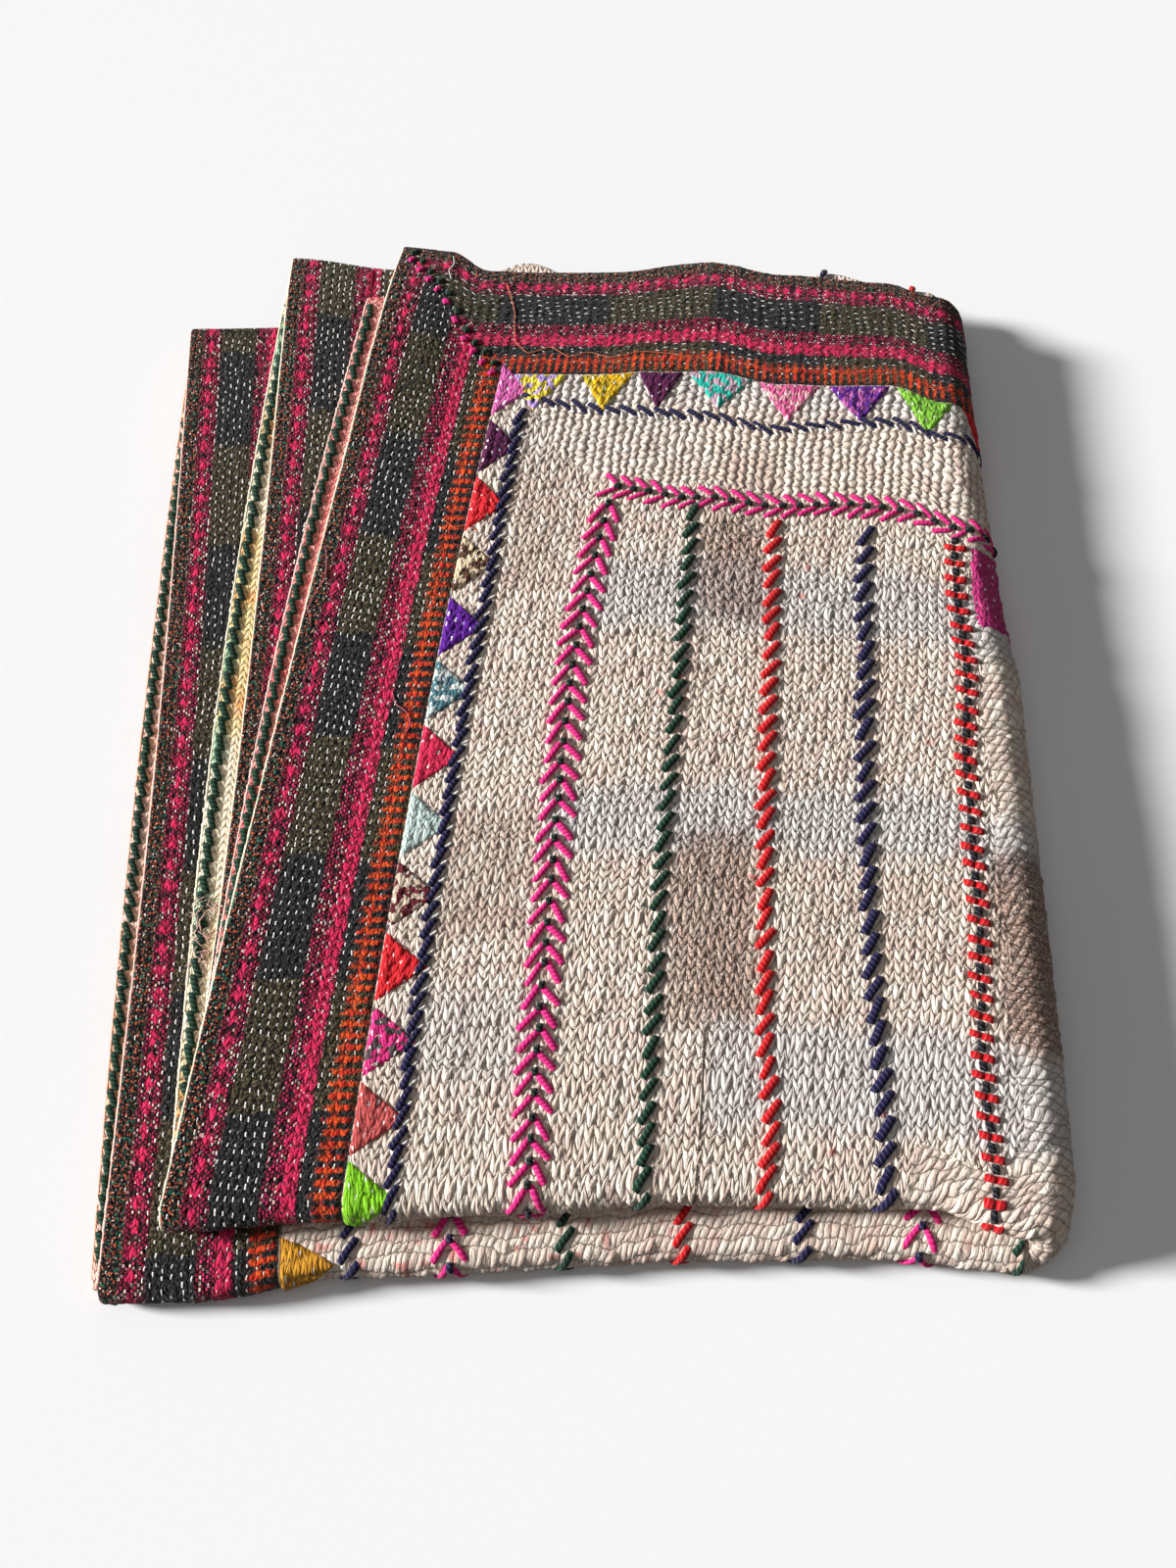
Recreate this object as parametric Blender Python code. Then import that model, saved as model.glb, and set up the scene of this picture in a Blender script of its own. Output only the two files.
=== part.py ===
"""A hand-quilted kantha bed cover, folded into a flat pile of eight plies.

The cover is one sheet of stitched layers: a plain quilted centre inside a
mitred border of plaid cloth. It is folded twice along its length, so that
both short ends meet at the back of the pile, and then once across its width,
with that last fold at the right. All the hems of the long sides lie at the
left, each a little beside the next.

Frame: +X to the right fold, +Y to the back of the pile, +Z up. The origin is
on the ground, under the middle of the pile's box. Sizes are in metres.
"""

import math
from collections import namedtuple

import bmesh
import bpy
from mathutils import Vector

# ---- driving sizes ---------------------------------------------------------

CLOTH = 0.0040          # thickness of the quilted layers
PITCH = 0.0056          # height from one ply of the pile to the next
HALF_PLIES = 4          # plies above the middle of the pile, and as many below
STRETCH = 0.590         # length of each quarter of the sheet, from fold to fold
BORDER = 0.080          # width of the plaid border, hem included
SEAM = 0.0003           # gap between border and centre
HEM_ROUND = 0.0020      # width over which a hem thins towards its edge
HEM_THIN = 0.55         # share of the thickness left at a hem's edge

FIELD_COLUMNS = 8       # across one half of the centre
SIDE_STEPS = 8          # around the fold at the right
TIGHT_STEPS = 4         # around a fold of one ply about the next
WIDE_STEPS = 6          # around the fold that goes about the tight one

SWELL = 0.0016          # slow unevenness of the top of the pile
DROOP = 0.0130          # how far the back edges hang where nothing is under them
DROOP_FROM = 0.318      # where they start to hang
DROOP_OVER = 0.070      # length over which they do
CORNER_LIFT = 0.0050    # rise of the loose corner on top of the pile
CORNER_REACH = 0.090

# Where each stretch of the length begins and ends, in order along the sheet.
# level: its distance from the middle of the pile, in pitches.
# face: +1 where the good side looks away from the middle, -1 where towards it.
# back_line, front_line: names of the lines across the pile that it runs between.
# rows: steps along it, without the border's own.
# bow_upper, bow_lower: how far its long hem bows to the right at half way.
Stretch = namedtuple("Stretch", "level face back_line rows bow_upper bow_lower")
STRETCHES = {
    "top": Stretch(3.5, 1, "loose_end", 11, -0.0035, 0.000),
    "third": Stretch(0.5, -1, "middle_fold", 8, -0.010, 0.004),
    "second": Stretch(1.5, 1, "middle_fold", 10, 0.004, -0.005),
    "first": Stretch(2.5, -1, "tucked_end", 8, -0.0105, 0.000),
}

# A fold joins two stretches. level: that of its axis, and radius: that of the
# cloth's middle around it, both in pitches. face: +1 where the good side is the
# outer one. line: the name of the line across the pile that its axis follows.
Fold = namedtuple("Fold", "level radius face steps line")
FOLDS = {
    "wide_front": Fold(2.0, 1.5, 1, WIDE_STEPS, "front_fold"),
    "back": Fold(1.0, 0.5, 1, TIGHT_STEPS, "middle_fold"),
    "tight_front": Fold(2.0, 0.5, -1, TIGHT_STEPS, "front_fold"),
}

# The left hem at each end and fold: its x in the upper and the lower half.
Hem = namedtuple("Hem", "upper lower")
HEMS = {
    "loose_end": Hem(-0.120, -0.250),
    "wide_front": Hem(-0.222, -0.257),
    "back": Hem(-0.195, -0.259),
    "tight_front": Hem(-0.215, -0.262),
    "tucked_end": Hem(-0.142, -0.252),
}

# A point of a line: what it is measured at, and its value there.
Point = namedtuple("Point", "at value")

# Lines across the pile: y at a share of the way from the left hem to the fold
# at the right, in the upper half and in the lower one.
LINES_UPPER = {
    "loose_end": (
        Point(0.00, 0.373), Point(0.09, 0.370), Point(0.16, 0.354), Point(0.40, 0.353),
        Point(0.58, 0.361), Point(0.72, 0.349), Point(0.91, 0.343), Point(1.00, 0.332),
    ),
    "tucked_end": (Point(0.00, 0.336), Point(0.20, 0.343), Point(1.00, 0.318)),
    "middle_fold": (
        Point(0.00, 0.373), Point(0.17, 0.362), Point(0.35, 0.347), Point(0.95, 0.344),
        Point(1.00, 0.335),
    ),
    "front_fold": (
        Point(0.00, -0.235), Point(0.20, -0.230), Point(0.40, -0.226), Point(0.60, -0.221),
        Point(0.88, -0.223), Point(1.00, -0.238),
    ),
}
LINES_LOWER = {
    "loose_end": (Point(0.00, 0.300), Point(1.00, 0.306)),
    "tucked_end": (Point(0.00, 0.296), Point(1.00, 0.302)),
    "middle_fold": (Point(0.00, 0.321), Point(0.40, 0.326), Point(1.00, 0.325)),
    "front_fold": (
        Point(0.00, -0.270), Point(0.10, -0.269), Point(0.28, -0.256), Point(0.68, -0.248),
        Point(0.84, -0.247), Point(1.00, -0.254),
    ),
}

# The axis of the fold at the right: its x at each y.
RIGHT_FOLD = (
    Point(-0.260, 0.2285), Point(-0.215, 0.2365), Point(0.060, 0.2340), Point(0.130, 0.2260),
    Point(0.250, 0.2220), Point(0.380, 0.2210),
)

HALF_HEIGHT = (HALF_PLIES - 0.5) * PITCH + CLOTH / 2
HEIGHT = 2 * HALF_HEIGHT

# ---- small helpers ---------------------------------------------------------


def eased(share):
    """0 to 1 with a level start and end."""
    share = min(max(share, 0.0), 1.0)
    return share * share * (3.0 - 2.0 * share)


def mix(start, end, share):
    return start + (end - start) * share


def along(line, at):
    """The value at one place of a line given by a few of its points."""
    if at <= line[0].at:
        return line[0].value
    for before, after in zip(line, line[1:]):
        if at <= after.at:
            return mix(before.value, after.value, eased((at - before.at) / (after.at - before.at)))
    return line[-1].value


def remove_all_objects():
    for item in list(bpy.data.objects):
        bpy.data.objects.remove(item, do_unlink=True)


# ---- stations across the sheet ---------------------------------------------

# One edge loop along the sheet. half: "upper", "side" or "lower". inset: its
# distance in from the long hem, in the border. share: how far it lies from the
# border to the fold at the right, in the centre. angle: around that fold, 0 on
# top and pi underneath. thick: share of the cloth's thickness. band: its cloth.
Column = namedtuple("Column", "half inset share angle thick band")


def border_insets():
    """Distances in from a hem at which the border has an edge loop."""
    return (0.0, HEM_ROUND, BORDER / 2, BORDER)


def columns():
    """Every edge loop that runs along the sheet, from hem to hem."""
    upper = [
        Column("upper", inset, None, 0.0, HEM_THIN if inset == 0.0 else 1.0, "border")
        for inset in border_insets()
    ]
    upper += [
        Column("upper", None, step / FIELD_COLUMNS, 0.0, 1.0, "field")
        for step in range(FIELD_COLUMNS + 1)
    ]
    side = [
        Column("side", None, 1.0, math.pi * step / SIDE_STEPS, 1.0, "field")
        for step in range(1, SIDE_STEPS)
    ]
    lower = [column._replace(half="lower", angle=math.pi) for column in reversed(upper)]
    return upper + side + lower


# One edge loop across the sheet. line: the line across the pile that it is
# measured from, and share: how far it lies from there to the front fold.
# inset: its distance in from a short hem. out, level: its offset from the line
# and its distance from the middle of the pile. lean: the way the good side
# looks, as (out, level). ends: where its long hem starts and ends. stretch: the
# name of its stretch, if it is on one.
Row = namedtuple("Row", "line inset share out level lean ends stretch thick band")


def end_rows(name, start, end):
    """The border at a short end, from its hem inwards."""
    stretch = STRETCHES[name]
    return [
        Row(start, inset, 0.0, 0.0, stretch.level * PITCH, (0.0, stretch.face),
            (start, end), name, HEM_THIN if inset == 0.0 else 1.0, "border")
        for inset in border_insets()
    ]


def stretch_rows(name, start, end, after_border):
    """Rows between the ends of one stretch, from the back to the front."""
    stretch = STRETCHES[name]
    first = 0 if after_border else 1
    inset = BORDER + SEAM if after_border else 0.0
    return [
        Row(stretch.back_line, inset, step / stretch.rows, 0.0, stretch.level * PITCH,
            (0.0, stretch.face), (start, end), name, 1.0, "field")
        for step in range(first, stretch.rows)
    ]


def fold_rows(name, falls, outwards):
    """Rows around a fold, both its ends included."""
    fold = FOLDS[name]
    looped = []
    for step in range(fold.steps + 1):
        angle = math.pi * step / fold.steps
        level = math.cos(angle) if falls else -math.cos(angle)
        out = outwards * math.sin(angle)
        looped.append(
            Row(fold.line, 0.0, 0.0, fold.radius * PITCH * out,
                (fold.level + fold.radius * level) * PITCH,
                (fold.face * out, fold.face * level), (name, name), None, 1.0, "field")
        )
    return looped


def rows():
    """Every edge loop that runs across the sheet, from one short hem to the other."""
    listed = end_rows("top", "loose_end", "wide_front")
    listed += stretch_rows("top", "loose_end", "wide_front", True)
    listed += fold_rows("wide_front", True, -1)
    listed += reversed(stretch_rows("third", "back", "wide_front", False))
    listed += fold_rows("back", False, 1)
    listed += stretch_rows("second", "back", "tight_front", False)
    listed += fold_rows("tight_front", False, -1)
    listed += reversed(stretch_rows("first", "tucked_end", "tight_front", True))
    listed += reversed(end_rows("first", "tucked_end", "tight_front"))
    return listed


# ---- the folded shape ------------------------------------------------------


def line_y(name, column, across):
    """y of a line across the pile, led around the fold at the right."""
    upper = along(LINES_UPPER[name], across)
    lower = along(LINES_LOWER[name], across)
    return mix(upper, lower, eased(column.angle / math.pi))


def hem_x(row, half):
    """x of the long hem at a row."""
    start = getattr(HEMS[row.ends[0]], half)
    if row.stretch is None:
        return start
    end = getattr(HEMS[row.ends[1]], half)
    bow = getattr(STRETCHES[row.stretch], "bow_" + half)
    way = mix(row.inset / STRETCH, 1.0, row.share)
    return mix(start, end, way) + bow * math.sin(math.pi * way)


def settle(x, y, z):
    """The pile's own unevenness: none on the ground, most on top."""
    height = z / HEIGHT
    swell = math.sin(17.0 * x + 6.0 * y + 0.6) * math.sin(11.0 * y - 5.0 * x + 1.1)
    hang = min(max((y - DROOP_FROM) / DROOP_OVER, 0.0), 1.2) ** 2
    return z + SWELL * swell * height * height - DROOP * hang * height


def point(row, column, side):
    """One corner of the sheet, on its good side (+1) or its back (-1)."""
    half_cloth = side * CLOTH / 2 * min(row.thick, column.thick)
    out = row.out + row.lean[0] * half_cloth
    level = row.level + row.lean[1] * half_cloth
    hem = hem_x(row, "lower" if column.half == "lower" else "upper")
    width = RIGHT_FOLD[0].value - hem
    if column.band == "border":
        across = column.inset / width
    else:
        across = mix((BORDER + SEAM) / width, 1.0, column.share)
    back = line_y(row.line, column, across) - row.inset
    front = line_y("front_fold", column, across)
    y = mix(back, front, row.share) + out
    right = along(RIGHT_FOLD, y)
    if column.band == "border":
        x = hem + column.inset
    else:
        x = mix(hem + BORDER + SEAM, right, column.share) + level * math.sin(column.angle)
    z = settle(x, y, HALF_HEIGHT + level * math.cos(column.angle))
    if row.line == "loose_end" and column.half == "upper":
        reach = math.hypot(x - hem, back - y) / CORNER_REACH
        z += CORNER_LIFT * eased(1.0 - reach)
    return Vector((x, y, z))


def sheet_part(name, all_rows, all_columns, takes, shift):
    """One closed solid out of the cells of the sheet that it takes."""
    cells = {
        (i, j)
        for i in range(len(all_rows) - 1)
        for j in range(len(all_columns) - 1)
        if takes(all_rows[i], all_rows[i + 1], all_columns[j], all_columns[j + 1])
    }
    mesh = bmesh.new()
    corners = {}

    def corner(i, j, side):
        key = (i, j, side)
        if key not in corners:
            corners[key] = mesh.verts.new(point(all_rows[i], all_columns[j], side) - shift)
        return corners[key]

    def wall(start, end):
        mesh.faces.new((corner(*start, 1), corner(*start, -1), corner(*end, -1), corner(*end, 1)))

    for i, j in sorted(cells):
        around = ((i, j), (i + 1, j), (i + 1, j + 1), (i, j + 1))
        mesh.faces.new([corner(*place, 1) for place in around])
        mesh.faces.new([corner(*place, -1) for place in reversed(around)])
        for number, beside in enumerate(((i, j - 1), (i + 1, j), (i, j + 1), (i - 1, j))):
            if beside not in cells:
                wall(around[number], around[(number + 1) % 4])
    bmesh.ops.triangulate(mesh, faces=mesh.faces)
    bmesh.ops.recalc_face_normals(mesh, faces=mesh.faces)
    data = bpy.data.meshes.new(name)
    mesh.to_mesh(data)
    mesh.free()
    data.shade_smooth()
    data.set_sharp_from_angle(angle=math.radians(50))
    part = bpy.data.objects.new(name, data)
    bpy.context.scene.collection.objects.link(part)
    return part


def cloth(name, colour, roughness):
    """A plain cloth material."""
    material = bpy.data.materials.new(name)
    material.use_nodes = True
    shader = material.node_tree.nodes["Principled BSDF"]
    shader.inputs["Base Color"].default_value = (*colour, 1.0)
    shader.inputs["Roughness"].default_value = roughness
    return material


def is_field(row, next_row, column, next_column):
    return {row.band, next_row.band, column.band, next_column.band} == {"field"}


def is_border(row, next_row, column, next_column):
    both_rows = row.band == next_row.band == "border"
    both_columns = column.band == next_column.band == "border"
    return both_rows or both_columns


def footprint_centre(all_rows, all_columns):
    """The middle of the pile's box, on the ground."""
    points = [
        point(row, column, side)
        for row in all_rows
        for column in all_columns
        for side in (1, -1)
    ]
    middle = [(min(p[n] for p in points) + max(p[n] for p in points)) / 2 for n in (0, 1)]
    return Vector((middle[0], middle[1], min(p.z for p in points)))


def build():
    remove_all_objects()
    all_rows = rows()
    all_columns = columns()
    shift = footprint_centre(all_rows, all_columns)
    field = sheet_part("quilted_field", all_rows, all_columns, is_field, shift)
    field.data.materials.append(cloth("Washed beige cotton", (0.60, 0.51, 0.43), 0.92))
    border = sheet_part("plaid_border", all_rows, all_columns, is_border, shift)
    border.data.materials.append(cloth("Charcoal plaid cotton", (0.055, 0.045, 0.042), 0.94))


build()
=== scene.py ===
"""The looks of a folded kantha quilt: quilted centre, plaid border, patches and wool lines.

Every point of the cover has a place in the flat sheet. across runs from the
long hem that lies on top of the pile, over the fold at the right, to the long
hem underneath. down runs from the loose short end on top of the pile to the
short end tucked inside it. lift is the distance from the middle of the cloth,
towards its good side. fold() takes such a place to its point in the pile.
"""
import math
from collections import namedtuple

import bmesh
import bpy
import numpy as np
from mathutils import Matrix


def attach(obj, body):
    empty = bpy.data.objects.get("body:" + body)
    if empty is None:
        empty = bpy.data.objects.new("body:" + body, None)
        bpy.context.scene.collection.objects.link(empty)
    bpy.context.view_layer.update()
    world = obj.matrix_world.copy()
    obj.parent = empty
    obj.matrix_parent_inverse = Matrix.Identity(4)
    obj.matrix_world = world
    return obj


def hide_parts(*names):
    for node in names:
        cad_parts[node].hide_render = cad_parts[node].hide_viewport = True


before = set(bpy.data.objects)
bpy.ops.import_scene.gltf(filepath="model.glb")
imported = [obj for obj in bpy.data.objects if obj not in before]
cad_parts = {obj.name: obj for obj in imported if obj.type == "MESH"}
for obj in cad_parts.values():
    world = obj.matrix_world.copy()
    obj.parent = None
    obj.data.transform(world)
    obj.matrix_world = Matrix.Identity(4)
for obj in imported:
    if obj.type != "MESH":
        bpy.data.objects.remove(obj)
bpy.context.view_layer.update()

# ---- sizes, in metres --------------------------------------------------------

CLOTH = 0.0040
PITCH = 0.0056                        # from one ply of the pile to the next
HALF_HEIGHT = 3.5 * PITCH + CLOTH / 2
PILE_MIDDLE = (-0.0038, 0.0487)        # middle of the pile's box in the fold's own places

BORDER = 0.080
STRETCH = 0.590                       # one quarter of the length
CENTRE = 0.373                        # half of the centre's width
TURN = 0.062                          # cloth taken up by the fold at the right
UPPER = BORDER + CENTRE               # where that fold begins
LOWER = UPPER + TURN                  # and ends
ACROSS = UPPER + LOWER
WIDE = math.pi * 1.5 * PITCH
TIGHT = math.pi * 0.5 * PITCH
F1 = STRETCH                          # where each fold of the length begins and ends
F2 = F1 + WIDE
F3 = F2 + STRETCH
F4 = F3 + TIGHT
F5 = F4 + STRETCH
F6 = F5 + TIGHT
DOWN = F6 + STRETCH

SURFACE = CLOTH / 2 - 0.0005          # lift of the cloth's face between its puckers
HEM_ROUND = 0.0022
BROADER = 0.18                        # the border's spread at the front of the pile
DRAWN_IN = 0.71                       # the top centre's share of its flat width at the back
SWELL = 0.0016                        # height of the slow swells over the top
DROOP = 0.0130                        # fall of the back edge, where it begins and over how far
DROOP_FROM = 0.318
DROOP_OVER = 0.070
CORNER_LIFT = 0.0050                  # rise of the loose corner, and its reach
CORNER_REACH = 0.090

# Cloth puckered between rows of running stitches: from row to row, from stitch to
# stitch, how far the creases lean towards the next row, their slope, the shift of
# each row against the last, and how high the cloth stays in the creases between
# stitches and between rows.
Rows = namedtuple("Rows", "space pitch lean slope shift between_stitches between_rows")
ROW_SPACE = 0.0041
RUN_PITCH = 0.0060
IN_BORDER = Rows(ROW_SPACE, RUN_PITCH, 0.50, 0.0, 0.0, 0.0, 0.30)
LENGTHWISE = Rows(0.0054, 0.0064, 0.70, 0.0, 0.0, 0.0, 0.30)
STACKED = Rows(0.0058, 0.0056, 0.34, 0.0, 0.0, 0.0, 0.12)
SLABS = Rows(0.0058, 0.0052, 0.0, 0.55, 0.5, 0.34, 0.0)
IN_PATCH = Rows(0.0050, 0.0066, 0.60, 0.0, 0.0, 0.0, 0.30)
SIDE_BLOCKS = (0.0690, 0.0700)        # olive and charcoal blocks: the first, and the length of each
END_BLOCKS = (-0.0242, 0.0935)
SHORTER = (0.19, 0.36, 0.015)         # where the blocks beside a long hem come sooner: from, to, by how much
LOZENGE = 0.0125                      # from one pink lozenge of the plaid to the next
PLUMPER_FROM = 0.42                   # the puffs grow from here to the front
PUFF = 0.00150                        # height of the puffs: in the centre, border, backing
BORDER_PUFF = 0.00095
BACKING_PUFF = 0.0004
LEAST = 0.0004                        # least height of the good side's cloth over its surface
STACKS_END = 0.166                    # in from the short hem, where the stacked rows end
SLABS_FROM = (0.455, 0.437)           # across, where the slabs begin: at the back, at the front
SLAB_CORNER = (0.385, 0.566)          # across and down, where they begin at the front
KIND_SOFT = 0.004
CLOSER = (1.45, 0.8)                  # and are closer, and longer, on the ply below

FINE = 0.0014

Point = namedtuple("Point", "at value")

LINES_UPPER = {
    "loose_end": (
        Point(0.00, 0.373), Point(0.09, 0.370), Point(0.16, 0.354), Point(0.40, 0.353),
        Point(0.58, 0.361), Point(0.72, 0.349), Point(0.91, 0.343), Point(1.00, 0.332),
    ),
    "tucked_end": (Point(0.00, 0.336), Point(0.20, 0.343), Point(1.00, 0.318)),
    "seam_slip": (
        Point(0.00, 0.0), Point(0.44, 0.0), Point(0.56, 0.0065), Point(0.76, 0.0040),
        Point(0.90, -0.0010), Point(1.00, 0.0),
    ),
    "middle_fold": (
        Point(0.00, 0.373), Point(0.17, 0.362), Point(0.28, 0.352), Point(0.37, 0.369),
        Point(0.47, 0.350), Point(0.76, 0.346), Point(0.85, 0.358), Point(0.93, 0.348),
        Point(1.00, 0.342),
    ),
    "front_fold": (
        Point(0.00, -0.235), Point(0.20, -0.230), Point(0.40, -0.226), Point(0.60, -0.221),
        Point(0.88, -0.223), Point(1.00, -0.238),
    ),
}
LINES_LOWER = {
    "loose_end": (Point(0.00, 0.300), Point(1.00, 0.306)),
    "tucked_end": (Point(0.00, 0.296), Point(1.00, 0.302)),
    "middle_fold": (Point(0.00, 0.321), Point(0.40, 0.326), Point(1.00, 0.325)),
    "front_fold": (
        Point(0.00, -0.270), Point(0.10, -0.269), Point(0.28, -0.256), Point(0.68, -0.248),
        Point(0.84, -0.247), Point(1.00, -0.254),
    ),
}
RIGHT_FOLD = (
    Point(-0.260, 0.2285), Point(-0.215, 0.2365), Point(0.060, 0.2340), Point(0.130, 0.2260),
    Point(0.250, 0.2220), Point(0.380, 0.2210),
)

Hem = namedtuple("Hem", "upper lower")
HEMS = {
    "loose_end": Hem(-0.120, -0.250),
    "wide_front": Hem(-0.222, -0.257),
    "back": Hem(-0.195, -0.259),
    "tight_front": Hem(-0.215, -0.262),
    "tucked_end": Hem(-0.142, -0.252),
}

# The length in order. runs: "away" from the back of the pile to its front,
# "home" the other way, "front" or "rear" round a fold. level, radius: distance
# from the middle of the pile and size of a fold, in pitches. face: +1 where the
# good side looks away from the middle, or is a fold's outer one.
Part = namedtuple(
    "Part", "runs start end level radius face falls line back front bow_upper bow_lower"
)
LENGTH = (
    Part("away", 0.0, F1, 3.5, 0.0, 1, 0, "loose_end", "loose_end", "wide_front", -0.0035, 0.0),
    Part("front", F1, F2, 2.0, 1.5, 1, 1, "front_fold", "wide_front", "wide_front", 0.0, 0.0),
    Part("home", F2, F3, 0.5, 0.0, -1, 0, "middle_fold", "back", "wide_front", -0.010, 0.004),
    Part("rear", F3, F4, 1.0, 0.5, 1, -1, "middle_fold", "back", "back", 0.0, 0.0),
    Part("away", F4, F5, 1.5, 0.0, 1, 0, "middle_fold", "back", "tight_front", 0.004, -0.005),
    Part("front", F5, F6, 2.0, 0.5, -1, -1, "front_fold", "tight_front", "tight_front", 0.0, 0.0),
    Part("home", F6, DOWN, 2.5, 0.0, -1, 0, "tucked_end", "tucked_end", "tight_front", -0.0105, 0.0),
)


# ---- the fold ----------------------------------------------------------------

def eased(share):
    share = np.clip(share, 0.0, 1.0)
    return share * share * (3.0 - 2.0 * share)


def mix(start, end, share):
    return start + (end - start) * share


def along(line, at):
    """The values at places of a line given by a few of its points."""
    ats = np.array([point.at for point in line])
    values = np.array([point.value for point in line])
    n = np.clip(np.searchsorted(ats, at) - 1, 0, len(ats) - 2)
    return mix(values[n], values[n + 1], eased((at - ats[n]) / (ats[n + 1] - ats[n])))


def fold(across, down, lift):
    """The pile's points for places in the flat sheet."""
    places = np.broadcast_arrays(*(np.asarray(value, float) for value in (across, down, lift)))
    shape = places[0].shape
    across, down, lift = (place.ravel() for place in places)
    made = np.empty((len(across), 3))
    number = np.clip(np.searchsorted([part.end for part in LENGTH], down), 0, len(LENGTH) - 1)
    for n, part in enumerate(LENGTH):
        here = number == n
        if here.any():
            made[here] = fold_part(part, across[here], down[here], lift[here])
    return made.reshape(shape + (3,))


def fold_part(part, across, down, lift):
    on_top = across <= (UPPER + LOWER) / 2
    angle = np.clip((across - UPPER) / TURN, 0.0, 1.0) * math.pi
    inset = np.where(on_top, across, ACROSS - across)
    way = (down - part.start) / (part.end - part.start)
    out, level, out_lean, rise_lean = 0.0, part.level * PITCH, 0.0, part.face
    short_inset = 0.0
    if part.radius:
        turn = np.clip(way, 0.0, 1.0) * math.pi
        rises = part.falls * np.cos(turn)
        swings = (1.0 if part.runs == "rear" else -1.0) * np.sin(turn)
        out = part.radius * PITCH * swings
        level = level + part.radius * PITCH * rises
        out_lean, rise_lean = part.face * swings, part.face * rises
        way = share = 0.0
    else:
        if part.runs == "home":
            way = 1.0 - way
        if part.line.endswith("end"):
            short_inset = np.minimum(way * STRETCH, BORDER)
        share = (way * STRETCH - short_inset) / (STRETCH - short_inset)
    out = out + out_lean * lift
    level = level + rise_lean * lift

    def hem_of(half):
        start, end = getattr(HEMS[part.back], half), getattr(HEMS[part.front], half)
        return mix(start, end, way) + getattr(part, "bow_" + half) * np.sin(math.pi * way)

    hem = np.where(on_top, hem_of("upper"), hem_of("lower"))
    width = RIGHT_FOLD[0].value - hem
    share_in = np.clip((inset - BORDER) / CENTRE, 0.0, 1.0)
    broad = 1.0
    if part.front == "wide_front":
        broad = 1.0 + BROADER * (1.0 if part.radius else way ** 2)
    seam = BORDER * broad / width
    place = np.where(inset < BORDER, inset * broad / width, mix(seam, 1.0, share_in))
    under = eased(angle / math.pi)

    def line_y(name):
        return mix(along(LINES_UPPER[name], place), along(LINES_LOWER[name], place), under)

    back = line_y(part.line) - short_inset
    if part.line == "loose_end":
        slip = along(LINES_UPPER["seam_slip"], place) * np.where(on_top, 1.0, 0.0)
        back = back - slip * short_inset / BORDER
    y = mix(back, line_y("front_fold"), share) + out
    in_centre = mix(hem + BORDER * broad, along(RIGHT_FOLD, y), share_in) + level * np.sin(angle)
    x = np.where(inset < BORDER, hem + inset * broad, in_centre)
    z = HALF_HEIGHT + level * np.cos(angle)
    height = z / (2 * HALF_HEIGHT)
    swell = np.sin(17.0 * x + 6.0 * y + 0.6) * np.sin(11.0 * y - 5.0 * x + 1.1)
    hang = np.clip((y - DROOP_FROM) / DROOP_OVER, 0.0, 1.2) ** 2
    z = z + SWELL * swell * height * height - DROOP * hang * height
    if part.line == "loose_end":
        reach = np.hypot(x - hem, back - y) / CORNER_REACH
        z = z + np.where(across <= UPPER, CORNER_LIFT * eased(1.0 - reach), 0.0)
    return np.stack((x - PILE_MIDDLE[0], y - PILE_MIDDLE[1], np.maximum(z, 0.0)), axis=1)


# ---- unevenness and quilting -------------------------------------------------

def unevenness(a, b, size, seed):
    """Smooth bumps about size apart, from -1 to 1."""
    m, n = 97, 89                     # the table that it repeats, too large to notice
    values = np.random.default_rng(seed).uniform(-1.0, 1.0, (m, n))
    a, b = np.asarray(a) / size + 31.0, np.asarray(b) / size + 17.0
    i, j = np.floor(a).astype(int), np.floor(b).astype(int)
    s, t = eased(a - i), eased(b - j)
    near = mix(values[i % m, j % n], values[(i + 1) % m, j % n], s)
    far = mix(values[i % m, (j + 1) % n], values[(i + 1) % m, (j + 1) % n], s)
    return mix(near, far, t)


def insets(across, down):
    """Distances in from the nearest long hem and the nearest short one."""
    return np.minimum(across, ACROSS - across), np.minimum(down, DOWN - down)


def narrowing(down):
    """Share of its flat width that the top ply's centre takes up in the pile."""
    return mix(DRAWN_IN, 1.0, np.clip(down / F1, 0.0, 1.0))


def narrowed(across, down):
    """Across, as the centre is drawn in towards the back of the pile."""
    return across + (narrowing(down) - 1.0) * np.clip(across - BORDER, 0.0, CENTRE)


def widened(across, down):
    """The flat sheet's across for a narrowed one."""
    share = narrowing(down)
    return across + (1.0 - share) * np.clip((across - BORDER) / share, 0.0, CENTRE)


def strays(across, down):
    """How far the hand that quilted it strayed, across and down."""
    stray_across = 0.0012 * unevenness(across, down, 0.019, 1)
    stray_across = stray_across + 0.0008 * unevenness(across, down, 0.0062, 2)
    stray_down = 0.0026 * unevenness(across, down, 0.024, 3)
    return stray_across, stray_down + 0.0021 * unevenness(across, down, 0.0076, 4)


def sewn(across, down):
    """Places of the flat sheet by the rows of running stitches."""
    stray_across, stray_down = strays(across, down)
    grown = 0.8 * np.clip(down - PLUMPER_FROM, 0.0, 0.20) ** 2
    grown = grown * eased((across - BORDER) / 0.01) * eased((UPPER - across) / 0.06)
    below = (across > LOWER - 1e-6) & (across < ACROSS - BORDER)
    closer = [np.where(below, times, 1.0) for times in CLOSER]
    sewn_across = narrowed(across, down) + stray_across
    return sewn_across * closer[0], (down - grown + stray_down) * closer[1]


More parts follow.
